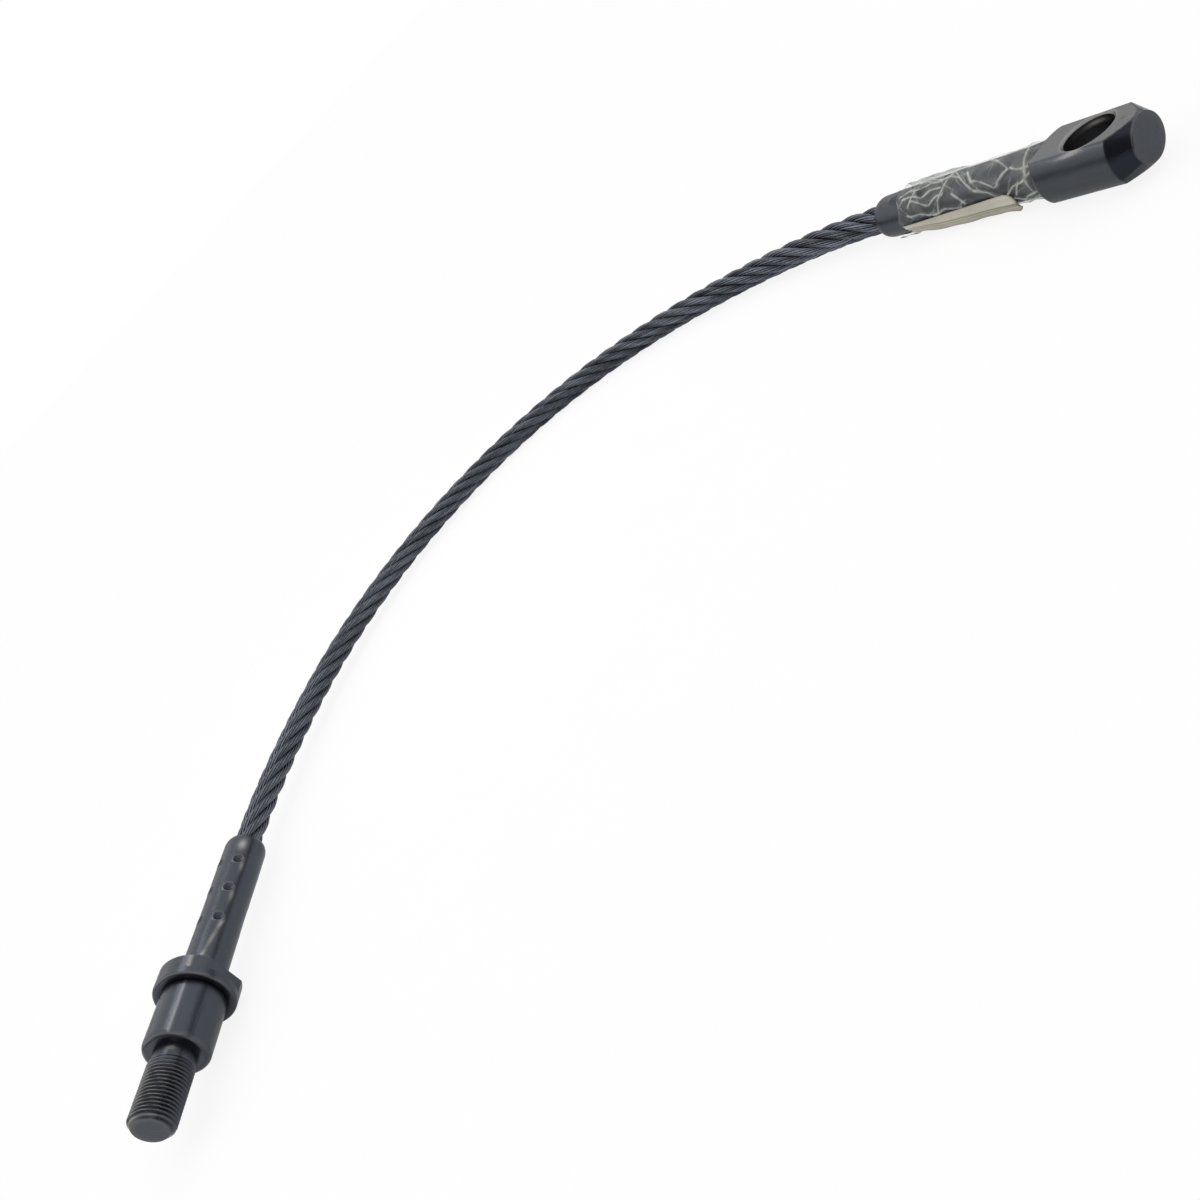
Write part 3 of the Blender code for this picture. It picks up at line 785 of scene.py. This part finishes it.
# %% [markdown]
# ### Painted highlights and painted shade on the eye
#
# After the bore is cut the points form no grid, so each mark is a function of a point's
# place: along the axis, to the side, and in height above the middle plane.  The cheeks,
# the bore's wall and rims, the shoulder, the end and a streak along the head's near side
# get painted highlights.  One side of the cone gets painted shade, as a dark reflection.
# Inside the bore one streak is a painted highlight that is also made less metallic, so
# it stays bright against the dark wall opposite.

# %% Parts of the eye
WALL_NEAR = 0.12                # how near to the bore's radius a point of its wall lies
CHEEK_NEAR = 0.03               # the same for a point of a cheek
EDGE_MARGIN = 0.05              # so that the wall keeps the points on its own edge
CHEEK_MARGIN = 0.12             # how far below the cheek's plane the cone's painted shade begins
CHEEK_START = SHOULDER - 6.0    # the cheek's painted highlight runs on over the end of the sleeve

eye_points = mesh_points(eye_mesh)
at, side, height = eye_points.T
out = np.hypot(side, height)
turn = np.arctan2(side, height)
turn_degrees = np.degrees(turn)
from_bore = np.hypot(at - EYE_BORE_AT, side)

in_bore = (np.abs(from_bore - EYE_BORE_RADIUS) < WALL_NEAR) & (at > SHOULDER)
in_bore &= np.abs(height) < CHEEK - EYE_BORE_EDGE + EDGE_MARGIN
on_rim = np.abs(height) > CHEEK - EYE_BORE_EDGE
on_cheek = (np.abs(height) > CHEEK - CHEEK_NEAR) & (at > CHEEK_START) & (out < HEAD_RADIUS)
on_cone = ramp(at, CONE_START - 0.1, CONE_START + 0.2) * (at < EYE_TIP - NOSE_EDGE)
on_cone = on_cone * (np.abs(height) < CHEEK - CHEEK_MARGIN)
print("points in the bore:", in_bore.sum(), "on the cheeks:", on_cheek.sum())

# %% Painted highlights and painted shade on the eye
BORE_RIM = 0.35                 # width of the painted highlight ring round the bore, and its distance
CONE_SHADE = 0.80
CONE_DARK = ((-123.0, -118.0), (-20.0, -14.0))     # degrees in which the cone's painted shade starts and ends

# a painted highlight streak along the near side of the head
gleam_turn = np.radians(np.interp(at, [62.0, 74.0], [-56.0, -49.5]))
gleam = bump(at, 69.0, 3.0) * bump(HEAD_RADIUS * turned_by(turn, gleam_turn), 0.0, 0.5)
gleam = gleam * (out > HEAD_RADIUS - 0.3)
# a painted highlight streak on the bore's far wall
bore_highlight = in_bore * bump(height, 4.5, 0.5) * bump(at, EYE_BORE_AT - 1.8, 2.4) * (side > 0)

# painted highlights on the bore's rims and wall, the cheeks, the shoulder and the end
painted_highlight = 0.55 * bump(from_bore, EYE_BORE_RADIUS + BORE_RIM, BORE_RIM) * on_rim
painted_highlight += 0.9 * bore_highlight + 0.14 * in_bore + 0.20 * on_cheek + 0.50 * gleam
painted_highlight += 0.25 * ring_mark(at, out, SHOULDER + 0.3, HEAD_RADIUS - 0.2, 0.5)
painted_highlight += 0.07 * ring_mark(at, out, EYE_TIP, NOSE_RADIUS, 0.35)
# painted shade on one side of the cone, where it shows a dark reflection
shaded_side = ramp(turn_degrees, *CONE_DARK[0]) * (1 - ramp(turn_degrees, *CONE_DARK[1]))
store(eye_mesh, "painted_highlight", np.clip(painted_highlight, 0.0, 1.0))
store(eye_mesh, "painted_shade", np.clip(CONE_SHADE * on_cone * shaded_side, 0.0, 1.0))
store(eye_mesh, "matt_bore_highlight", np.clip(bore_highlight, 0.0, 1.0))
store(eye_mesh, "turned_place", eye_points)
print("rubbed points of the eye:", (painted_highlight > 0.1).sum(), "of", painted_highlight.size)

# %% The eye in its place
eye_mesh.vertices.foreach_set("co", eye_place.world(eye_points).ravel())
eye_mesh.update()
eye_mesh.shade_smooth()
eye_mesh.set_sharp_from_angle(angle=math.radians(30.0))
eye = add_piece("eye_terminal_bored", eye_mesh, "dark_steel", "eye_terminal")

# %% [markdown]
# ## Film and paper on the eye
#
# The eye's sleeve is still in its packing: a strip of clear film wound once round it,
# with a cream paper slip along the outer side.  Clear film is hardly seen where it is
# smooth, so what draws it are its creases.  Each crease is a straight line on the
# unrolled film: a low sharp ridge, and a whitened line for the finish to pick up.

# %% The film's creases
SMALL_CREASES = 90
UNROLLED_RADIUS = 6.5           # the film's radius for its length round the sleeve
MM_PER_DEGREE = 0.115           # about what one degree is at that radius
film_random = np.random.default_rng(23)

# start and end of each crease: along the eye in mm, angle round it in degrees
main_creases = [
    (29.5, 10, 38.5, -58), (38.5, -58, 45.5, -92), (42.5, 5, 49.5, -38), (49.5, -38, 45.0, -66),
    (45.0, -66, 38.0, -40), (38.0, -40, 35.5, -10), (30.0, 0, 26.0, -62), (26.0, -62, 25.0, -85),
    (31.0, -52, 34.5, -84), (16.0, -44, 22.5, -60), (22.5, -60, 28.0, -44), (11.5, -20, 30.0, -8),
    (14.0, -70, 21.0, -84), (21.0, -84, 33.0, -86), (54.0, 25, 55.5, -100), (50.5, -36, 56.0, -50),
    (48.0, -88, 56.0, -62), (12.0, 20, 31.0, 24), (17.0, -20, 15.0, -52), (52.5, -70, 50.5, -96),
    (49.0, -100, 56.0, -140), (50.0, -142, 57.0, -108), (50.0, -122, 57.0, -95),
    (3.6, -150, 11.0, -138), (4.0, -168, 11.0, -148), (18.0, 8, 24.0, -14),
    (13.0, -30, 20.0, -38), (20.0, -38, 27.0, -28), (22.0, 2, 33.0, -20)]
small_creases = []
for number in range(SMALL_CREASES):
    start = film_random.uniform((11.0, -170.0), (55.0, 150.0))
    heading = film_random.uniform(-180.0, 180.0)    # in radians: any way is as likely
    length = film_random.uniform(3.0, 10.0)
    small_creases.append((start[0], start[1], start[0] + length * math.cos(heading),
                          start[1] + length * math.sin(heading) / MM_PER_DEGREE))


def crease_distance(along, arc, creases):
    """The distance from every point of the unrolled film to the nearest crease.

    The nearest place on a crease is its start plus a share of its step.  That share is
    the way to the point, measured along the step, over the step's length, from 0 to 1.
    """
    nearest = np.full(along.shape, np.inf)
    for at_1, angle_1, at_2, angle_2 in creases:
        first = np.array([at_1, math.radians(angle_1) * UNROLLED_RADIUS])
        step = np.array([at_2, math.radians(angle_2) * UNROLLED_RADIUS]) - first
        ahead, across = along - first[0], arc - first[1]
        share = np.clip((ahead * step[0] + across * step[1]) / (step @ step), 0.0, 1.0)
        nearest = np.minimum(nearest, np.hypot(ahead - share * step[0], across - share * step[1]))
    return nearest


print("creases:", len(main_creases), "main ones and", len(small_creases), "small ones")

# %% The film, unrolled
FILM_START, FILM_END = 10.5, 57.2
FILM_EDGES = (-176.0, 150.0)    # degrees round the sleeve; the gap is on its underside
FILM_ROWS, FILM_COLUMNS = 300, 210
LOOSE_REACH = 7.0               # how far the loose corner reaches towards the mouth
FAR_PULL = 2.2                  # how much sooner the film ends on the far side

film_angles = np.radians(np.linspace(*FILM_EDGES, FILM_COLUMNS))
film_degrees = np.degrees(film_angles)
film_share = np.linspace(0.0, 1.0, FILM_ROWS)[:, None]
loose_mouth = ramp(-film_degrees, 128.0, 150.0)
far_side = np.clip(np.sin(film_angles), 0.0, 1.0)
film_first = FILM_START - LOOSE_REACH * loose_mouth + 0.5 * np.sin(5 * film_angles)
film_last = FILM_END - FAR_PULL * far_side + 0.35 * np.sin(7 * film_angles + 1.0)
film_along = film_first + film_share * (film_last - film_first)
film_arc = np.broadcast_to(film_angles * UNROLLED_RADIUS, film_along.shape)
wobble = 0.35 * np.sin(0.8 * film_along + 0.5 * film_arc)
main_distance = crease_distance(film_along + 0.3 * wobble, film_arc + wobble, main_creases)
small_distance = crease_distance(film_along, film_arc + wobble, small_creases)
print("unrolled film:", (film_last - film_first).max().round(1), "mm by",
      np.ptp(film_arc).round(1), "mm")

# %% [markdown]
# Rolled up, the film's radius is a sum: the sleeve, a little slack, a ridge along each
# crease, one flap that stands off near the top, and a bunched ring where it was pushed
# against the head.

# %% The film, rolled up
FILM_GAP = 0.34                 # from the steel, so that the film never cuts it
FLAP_TURN, FLAP_HEIGHT = 27.0, 0.75
RING_AT, RING_WIDTH = 54.6, 1.1

slack = (0.07 * np.sin(0.55 * film_along + 1.1 * film_arc)
         + 0.05 * np.sin(1.3 * film_along - 0.7 * film_arc + 1.0))
smooth_flap = 1 - 0.8 * bump(film_degrees, FLAP_TURN, 22.0)
ridges = 0.30 * np.exp(-main_distance / 0.45) + 0.13 * np.exp(-small_distance / 0.35)
flap = FLAP_HEIGHT * bump(film_degrees, FLAP_TURN, 13.0)
flap = flap * ramp(film_along, FILM_START - 1, FILM_START + 1) * (1 - ramp(film_along, 26.0, 34.0))
gathers = 0.14 + 0.12 * np.sin(17 * film_angles) * np.sin(9 * film_angles + 2.0)
bunched = bump(film_along, RING_AT - FAR_PULL * far_side, RING_WIDTH) * gathers
film_radius = (SLEEVE_RADIUS + FILM_GAP + neck_growth(film_along, film_angles)
               + slack + ridges * smooth_flap + flap + bunched)
print("film radius", film_radius.min().round(2), "to", film_radius.max().round(2), "mm")

film_points = np.stack([film_along, film_radius * np.sin(film_angles),
                        film_radius * np.cos(film_angles)], axis=-1)
film_mesh = raw_mesh("film_wrap_creased", eye_place.world(film_points),
                     grid_quads(FILM_ROWS, FILM_COLUMNS, False))

# %% Whitened and gathered film
to_edge = np.minimum(film_along - film_first, film_last - film_along)
whitened = 0.80 * bump(main_distance, 0.0, 0.24) + 0.40 * bump(small_distance, 0.0, 0.18)
whitened += 0.28 * np.exp(-main_distance / 1.3) + 0.15 * bump(to_edge, 0.0, 0.22) + 0.9 * bunched
at_mouth = loose_mouth * (film_along < FILM_START + 1.0)
store(film_mesh, "whitened", np.clip(whitened, 0.0, 1.0))
store(film_mesh, "gathered", np.clip(1.2 * flap + 0.4 * at_mouth, 0.0, 1.0))
film = add_piece("film_wrap_creased", close_up(film_mesh, 60.0), "clear_film", "film_wrap")

# %% [markdown]
# The paper is a slip bent along the sleeve.  Two long folds run from end to end, its
# far end curls away from the film, and its near end is cut at a slant.

# %% The paper, laid flat
PAPER_START, PAPER_END = 11.0, 49.2
PAPER_ROWS, PAPER_COLUMNS = 90, 60
NEAR_SLANT, FAR_ROUNDING = 2.6, 2.2     # how the two short edges leave the straight line

paper_share = np.linspace(0.0, 1.0, PAPER_ROWS)[:, None]
paper_across = np.linspace(0.0, 1.0, PAPER_COLUMNS)[None, :]
paper_along = PAPER_START + (PAPER_END - PAPER_START) * paper_share
paper_along = paper_along + NEAR_SLANT * paper_across * (1 - paper_share)**3
paper_along = paper_along - FAR_ROUNDING * (2 * paper_across - 1)**4 * paper_share**6
lower_edge = -116.0 - 27.0 * ramp(paper_share, 0.0, 0.45)
upper_edge = -90.0 + 3.0 * paper_share - 4.0 * (1 - paper_share)
paper_angles = np.radians(upper_edge + (lower_edge - upper_edge) * paper_across)

# %% The paper, bent round the sleeve
PAPER_GAP = 0.85                # from the steel: the film lies between
PAPER_THICKNESS = 0.15

folds = (0.25 * bump(paper_across, 0.28 + 0.16 * paper_share, 0.07)
         + 0.22 * bump(paper_across, 0.50 + 0.1 * paper_share, 0.08)
         + 0.25 * bump(paper_across, 0.80 - 0.1 * paper_share, 0.06))
ripple = 0.10 * np.sin(7.0 * paper_share * math.pi + 3 * paper_across) * paper_across
curl = 0.7 * ramp(paper_share, 0.82, 1.0) * paper_across + 0.5 * ramp(paper_across, 0.75, 1.0)
paper_radius = SLEEVE_RADIUS + PAPER_GAP + folds + ripple + curl
print("paper radius", paper_radius.min().round(2), "to", paper_radius.max().round(2), "mm")

paper_points = np.stack([paper_along, paper_radius * np.sin(paper_angles),
                         paper_radius * np.cos(paper_angles)], axis=-1)
paper_mesh = raw_mesh("paper_slip_curled", eye_place.world(paper_points),
                      grid_quads(PAPER_ROWS, PAPER_COLUMNS, False))

# %% Folds and edges of the paper
fold_lines = (0.9 * bump(paper_across, 0.36 + 0.16 * paper_share, 0.045)
              + 0.7 * bump(paper_across, 0.66 - 0.06 * paper_share, 0.045))
long_edges = 0.8 * bump(paper_across, 1.0, 0.06) + 0.4 * bump(paper_across, 0.0, 0.04)
far_edge = 0.7 * bump(paper_share, 1.0, 0.012)
store(paper_mesh, "folded", np.clip(fold_lines + long_edges + far_edge, 0.0, 1.0))
paper = add_piece("paper_slip_curled", close_up(paper_mesh, 60.0), "cream_paper", "paper_slip")
thickness = paper.modifiers.new("thickness", "SOLIDIFY")
thickness.thickness, thickness.offset = PAPER_THICKNESS * MM, 0.0

# %% [markdown]
# ## Writing finishes as arithmetic
#
# A material is a small sum: this much noise, times that mask, added to a colour.  Node
# by node that sum is hard to read, so one class below wraps the output of a node, and
# plain arithmetic on it adds the Math nodes.

# %% Signals
class Signal:
    """The output of a shader node: a number, vector or colour that varies over a surface."""

    def __init__(self, socket):
        self.socket = socket

    def node(self, kind, settings, values, output=0):
        """Add any node: first its settings, then each socket's value or the signal linked to it."""
        made = self.socket.id_data.nodes.new(kind)
        for setting, value in settings.items():
            setattr(made, setting, value)
        for name, value in values.items():
            if isinstance(value, Signal):
                self.socket.id_data.links.new(value.socket, made.inputs[name])
            else:
                made.inputs[name].default_value = value
        return Signal(made.outputs[output])

    def sum(self, operation, first, second):
        """One Math node for two numbers or signals."""
        return self.node("ShaderNodeMath", {"operation": operation}, {0: first, 1: second})

    def __add__(self, other):
        return self.sum("ADD", self, other)

    def __sub__(self, other):
        return self.sum("SUBTRACT", self, other)

    def __rsub__(self, other):
        return self.sum("SUBTRACT", other, self)

    def __mul__(self, other):
        return self.sum("MULTIPLY", self, other)

    __radd__, __rmul__ = __add__, __mul__

    def between(self, low, high):
        """0 below low, 1 above high, with a smooth rise."""
        return self.node("ShaderNodeMapRange", {"interpolation_type": "SMOOTHSTEP"},
                         {"Value": self, "From Min": low, "From Max": high})

    def blend(self, first, second):
        """The first colour where the signal is 0, the second where it is 1."""
        return self.node("ShaderNodeMix", {"data_type": "RGBA"}, {0: self, 6: first, 7: second}, 2)

    def scaled(self, factor):
        """A colour or vector times a number."""
        return self.node("ShaderNodeVectorMath", {"operation": "SCALE"}, {0: self, "Scale": factor})

    def stretched(self, scale):
        """A place with each direction times its own number: large numbers make fine bands."""
        return self.node("ShaderNodeMapping", {}, {"Vector": self, "Scale": scale})

    def noise(self, scale, detail=2.0):
        """Soft noise round 0.5, with features about one over the scale apart."""
        return self.node("ShaderNodeTexNoise", {},
                         {"Vector": self, "Scale": scale, "Detail": detail}, "Fac")

    def kept(self, name, output="Fac"):
        """What the mesh keeps for its points under a name; a mesh without it gives 0."""
        return self.node("ShaderNodeAttribute", {"attribute_name": name}, {}, output)

    def relief(self, depth):
        """The surface's normal, tilted as if the signal were its height."""
        return self.node("ShaderNodeBump", {}, {"Height": self, "Distance": depth}, "Normal")


def new_finish(name):
    """A new material, its shader, and the object's own coordinates in metres to start from."""
    made = bpy.data.materials.new(name)
    made.use_nodes = True
    nodes = made.node_tree.nodes
    return made, nodes["Principled BSDF"], Signal(nodes.new("ShaderNodeTexCoord").outputs["Object"])


def feed(shader, values):
    """Set the shader's sockets to plain values, or link signals to them."""
    for name, value in values.items():
        if isinstance(value, Signal):
            value.socket.id_data.links.new(value.socket, shader.inputs[name])
        else:
            shader.inputs[name].default_value = value


def grey(level):
    """A colour with the same red, green and blue."""
    return (level, level, level, 1.0)


# %% [markdown]
# ## Dark steel
#
# Both terminals are steel with a thin blue-grey oxide.  It is a metal, so its colour is
# that of its reflections, and only a little rough, so they are soft but still seen.
# The oxide is cloudy and the tool left fine rings round the axis.  Two maps lead from
# painted shade in the hollows to painted highlights in pale grey, which are also rougher.
# The eye adds a third map, which makes the painted highlight in its bore less metallic,
# and one small dark pit in its upper cheek, near the end.

# %% Finish: dark steel
STUD_COLOUR = (0.082, 0.089, 0.105, 1.0)
EYE_COLOUR = (0.083, 0.089, 0.097, 1.0)
SHADE_AND_PIT_COLOUR = (0.014, 0.016, 0.026, 1.0)
THIN_COLOUR = (0.064, 0.072, 0.087, 1.0)
HIGHLIGHT_COLOUR = (0.50, 0.475, 0.45, 1.0)
METAL = 0.92                    # how metallic steel with its oxide is
PIT = (79.6, 0.7, 6.1)          # in the eye's own frame
PIT_EDGE = (0.35, 0.75)         # distances at which the pit's black ends and steel begins


def dark_steel(name, cloud_scale, colour, pitted=False):
    """Oxide colour times clouds, grain and streaks, blended to painted shade and to painted
    highlights.
    """
    made, shader, start = new_finish(name)
    place = start.kept("turned_place", "Vector")
    clouds = place.noise(cloud_scale, 4.0)
    grain = place.noise(3.5, 2.0)
    rings = place.stretched((7.0, 0.25, 0.25)).noise(1.0, 2.0)
    painted_highlight, shade_map = start.kept("painted_highlight"), start.kept("painted_shade")
    streaks = place.stretched((0.12, 1.3, 1.3)).noise(1.0, 3.0)
    oxide = clouds.blend(colour, THIN_COLOUR)
    oxide = oxide.scaled((0.62 + 0.30 * clouds + 0.20 * grain) + 0.28 * streaks)
    oxide_with_shade = shade_map.blend(oxide, SHADE_AND_PIT_COLOUR)
    metal = METAL
    if pitted:
        from_pit = place.node("ShaderNodeVectorMath", {"operation": "DISTANCE"},
                              {0: place, 1: PIT}, "Value")
        oxide_with_shade = from_pit.between(*PIT_EDGE).blend(SHADE_AND_PIT_COLOUR, oxide_with_shade)
        metal = METAL - 0.85 * start.kept("matt_bore_highlight")
    # the base colour runs from painted shade through the oxide to painted highlights
    feed(shader, {
        "Base Color": (painted_highlight * (0.55 + 0.7 * grain)).blend(oxide_with_shade, HIGHLIGHT_COLOUR),
        "Metallic": metal,
        "Roughness": 0.16 + 0.10 * clouds + 0.06 * rings + 0.18 * painted_highlight,
        "Normal": (rings * 0.6 + grain * 0.5 + clouds * 0.6 + streaks * 0.8).relief(0.00005)})
    return made


# %% [markdown]
# ## Rope steel
#
# The wires are the same dark steel, drawn rather than turned.  The finish takes each
# wire's tone and painted shade from the mesh, so the laid pattern still shows where the
# light is even.  Fine specks break it up, and on the crowns they decide where the
# painted highlights lie.

# %% Finish: rope steel
DEEP_COLOUR, PALE_COLOUR = (0.098, 0.111, 0.138, 1.0), (0.138, 0.150, 0.174, 1.0)
CROWN_HIGHLIGHT_COLOUR = (0.40, 0.41, 0.43, 1.0)


def rope_steel():
    """A drifting colour times each wire's tone, painted shade and specks, blended to painted
    highlights on the crowns.
    """
    made, shader, start = new_finish("rope_steel_finish")
    tone = start.kept("tone_and_shade")
    specks = start.noise(900.0, 2.0)
    drift = start.noise(60.0, 3.0)
    colour = drift.blend(PALE_COLOUR, DEEP_COLOUR)
    colour = colour.scaled((1.0 + tone) * (0.9 + 0.2 * specks))
    # painted highlights on the crowns, broken up by the specks
    crown_highlight = start.kept("crown_highlight") * specks.between(0.38, 0.62)
    feed(shader, {
        "Base Color": (crown_highlight * 0.38).blend(colour, CROWN_HIGHLIGHT_COLOUR),
        "Metallic": 0.9,
        "Roughness": 0.20 + 0.16 * specks,
        "Normal": specks.relief(0.00002)})
    return made


# %% [markdown]
# ## Film and paper
#
# Clear film lets the steel show through: most of it is nearly transparent, and only the
# creases, whitened by bending, and the flap, where real film lies double, cover what is
# behind.  A clear shader that bends light would do the same at a high price, so the
# film is a plain pale surface with little alpha.  Paper is a matt cream with fine
# fibres, browner along its folds and edges.

# %% Finish: clear film
HAZE_COLOUR, CREASE_COLOUR = (0.30, 0.32, 0.29, 1.0), (0.58, 0.60, 0.56, 1.0)


def clear_film():
    """Alpha is a thin haze, plus the whitened creases in broken lines, plus the flap."""
    made, shader, start = new_finish("clear_film_finish")
    whitened, gathered = start.kept("whitened"), start.kept("gathered")
    haze = start.noise(180.0, 3.0).between(0.42, 0.68)
    broken = start.noise(420.0, 2.0).between(0.30, 0.62)
    feed(shader, {
        "Base Color": whitened.blend(HAZE_COLOUR, CREASE_COLOUR),
        "Roughness": 0.22 + 0.15 * haze,
        "Alpha": (0.08 + 0.22 * haze) + whitened * (0.40 + 0.45 * broken) + 0.55 * gathered,
        "Normal": start.noise(700.0, 2.0).relief(0.00002)})
    return made


# %% Finish: cream paper
CREAM_COLOUR, STAIN_COLOUR = (0.72, 0.68, 0.58, 1.0), (0.63, 0.59, 0.49, 1.0)
FOLD_COLOUR = (0.24, 0.21, 0.145, 1.0)


def cream_paper():
    """Cream and faint stains times the fibres, blended to brown along folds and edges."""
    made, shader, start = new_finish("cream_paper_finish")
    folded = start.kept("folded")
    fibres = start.stretched((1.0, 1.0, 3.0)).noise(1400.0, 4.0)
    stains = start.noise(90.0, 3.0).between(0.40, 0.70)
    plain_paper = stains.blend(CREAM_COLOUR, STAIN_COLOUR).scaled(0.92 + 0.34 * fibres)
    feed(shader, {
        "Base Color": (folded * 0.85).blend(plain_paper, FOLD_COLOUR),
        "Roughness": 0.75 + 0.2 * fibres,
        "Normal": fibres.relief(0.00005)})
    return made


# %% Finishes on their pieces
rope_finish = rope_steel()
finishes = (
    (stud, dark_steel("dark_steel_stud_finish", 0.22, STUD_COLOUR)),
    (eye, dark_steel("dark_steel_eye_finish", 0.30, EYE_COLOUR, pitted=True)),
    (rope, rope_finish), (film, clear_film()), (paper, cream_paper()))
for piece, finish in finishes:
    piece.data.materials.clear()
    piece.data.materials.append(finish)
    print(piece.name, "has", finish.name, "of", len(finish.node_tree.nodes), "nodes")
for name in ("rope_end_in_stud", "rope_end_in_eye"):
    frame["nodes"][name].material_slots[0].material = rope_finish

# %% [markdown]
# ## Floor, studio and lamp
#
# The object lies on a plain white sheet in a bright studio.  Dark metal shows what is
# round it, so the studio has a few features: a grey band along the horizon, where the
# white sheet ends, a dimmer patch where the photographer stands, and one soft lamp
# above.  The camera itself sees white wherever it looks past the object, and so does
# light that passed through the film; reflections get a share of that white.

# %% Light path
def light_path(start):
    """Which kind of ray asks for a colour, as signals of 0 or 1."""
    return {ray: start.node("ShaderNodeLightPath", {}, {}, ray)
            for ray in ("Is Camera Ray", "Is Glossy Ray", "Is Transmission Ray")}


# %% Floor
bpy.context.scene.view_settings.view_transform = "Standard"
FLOOR_RINGS = np.array([0.0, 0.5, 2.0, 12.0, 60.0])     # radii in metres
FLOOR_COLUMNS = 96
FLOOR_GLOW = 1.08               # a little over 1, to make up for the share that is shaded

floor_angles = np.linspace(0.0, math.tau, FLOOR_COLUMNS, endpoint=False)
floor_round = np.stack([np.cos(floor_angles), np.sin(floor_angles), 0 * floor_angles], axis=-1)
floor_mesh = raw_mesh("floor", FLOOR_RINGS[:, None, None] * floor_round,
                      grid_quads(len(FLOOR_RINGS), FLOOR_COLUMNS, True))
floor = bpy.data.objects.new("floor", close_up(floor_mesh, merge=MM))
bpy.context.scene.collection.objects.link(floor)

floor_finish, floor_shader, start = new_finish("floor_finish")
rays = light_path(start)
paper_grain = start.noise(40.0, 2.0)
feed(floor_shader, {"Base Color": paper_grain.blend(grey(0.74), grey(0.70)),
                    "Roughness": 0.9, "Specular IOR Level": 0.0})
glow = start.node("ShaderNodeEmission", {},
                  {"Color": grey(1.0), "Strength": FLOOR_GLOW}, "Emission")
seen_white = (0.80 * rays["Is Camera Ray"] + 0.30 * rays["Is Glossy Ray"]
              + 0.80 * rays["Is Transmission Ray"])
mixed = start.node("ShaderNodeMixShader", {},
                   {0: seen_white, 1: Signal(floor_shader.outputs["BSDF"]), 2: glow}, "Shader")
floor_output = floor_finish.node_tree.nodes["Material Output"]
floor_finish.node_tree.links.new(mixed.socket, floor_output.inputs["Surface"])
floor.data.materials.append(floor_finish)
print("floor:", FLOOR_RINGS[-1], "m from its middle to its edge")

# %% World
HORIZON_DARK, PHOTOGRAPHER_DARK = 0.95, 0.88    # shares of the white that they take away
PHOTOGRAPHER_AT = (-0.87, 0.24, 0.40)       # the direction in which the photographer stands
PHOTOGRAPHER_EDGE = (0.78, 0.95)            # cosines of the angle from there
BAND_START, BAND_END = (-0.02, 0.03), (0.04, 0.34)      # sines of the height above the horizon
WHITE_IN_STEEL = 0.10                       # the share of white that reflections get

world = bpy.data.worlds.new("studio")
bpy.context.scene.world = world
world.use_nodes = True
background = world.node_tree.nodes["Background"]
heading = Signal(world.node_tree.nodes.new("ShaderNodeTexCoord").outputs["Generated"])
rays = light_path(heading)


def towards(heading, direction):
    """How nearly a heading points in a direction: the cosine of the angle between them."""
    return heading.node("ShaderNodeVectorMath", {"operation": "DOT_PRODUCT"},
                        {0: heading, 1: tuple(unit(direction))}, "Value")


height = towards(heading, (0.0, 0.0, 1.0))
horizon = height.between(*BAND_START) * (1.0 - height.between(*BAND_END))
photographer = towards(heading, PHOTOGRAPHER_AT).between(*PHOTOGRAPHER_EDGE)
level = 1.0 - HORIZON_DARK * horizon
level = level * (1.0 - PHOTOGRAPHER_DARK * photographer)
seen_white = (rays["Is Camera Ray"] + WHITE_IN_STEEL * rays["Is Glossy Ray"]
              + rays["Is Transmission Ray"])
level = level + (1.0 - level) * seen_white
background.inputs["Color"].default_value = grey(1.0)
world.node_tree.links.new(level.socket, background.inputs["Strength"])
print("world:", len(world.node_tree.nodes), "nodes")

# %% Lamp
LAMP_AT = np.array([0.097, 0.126, 0.225])
LAMP_TARGET = np.array([0.0, 0.05, 0.0])
LAMP_SIDE = 0.065
LAMP_LEVEL = 3.0                # its brightness as metal reflects it, where white is 1
lamp = bpy.data.objects.new("soft_lamp", bpy.data.lights.new("soft_lamp", "AREA"))
lamp.data.shape, lamp.data.size = "SQUARE", LAMP_SIDE
lamp.data.energy = LAMP_LEVEL * math.pi * LAMP_SIDE**2
lamp.location = LAMP_AT
aim = unit(LAMP_TARGET - LAMP_AT)
lamp.rotation_euler = [0.0, math.acos(-aim[2]), math.atan2(-aim[1], -aim[0])]
lamp.visible_camera = False
bpy.context.scene.collection.objects.link(lamp)
print(f"lamp: {lamp.data.energy:.4f} W")
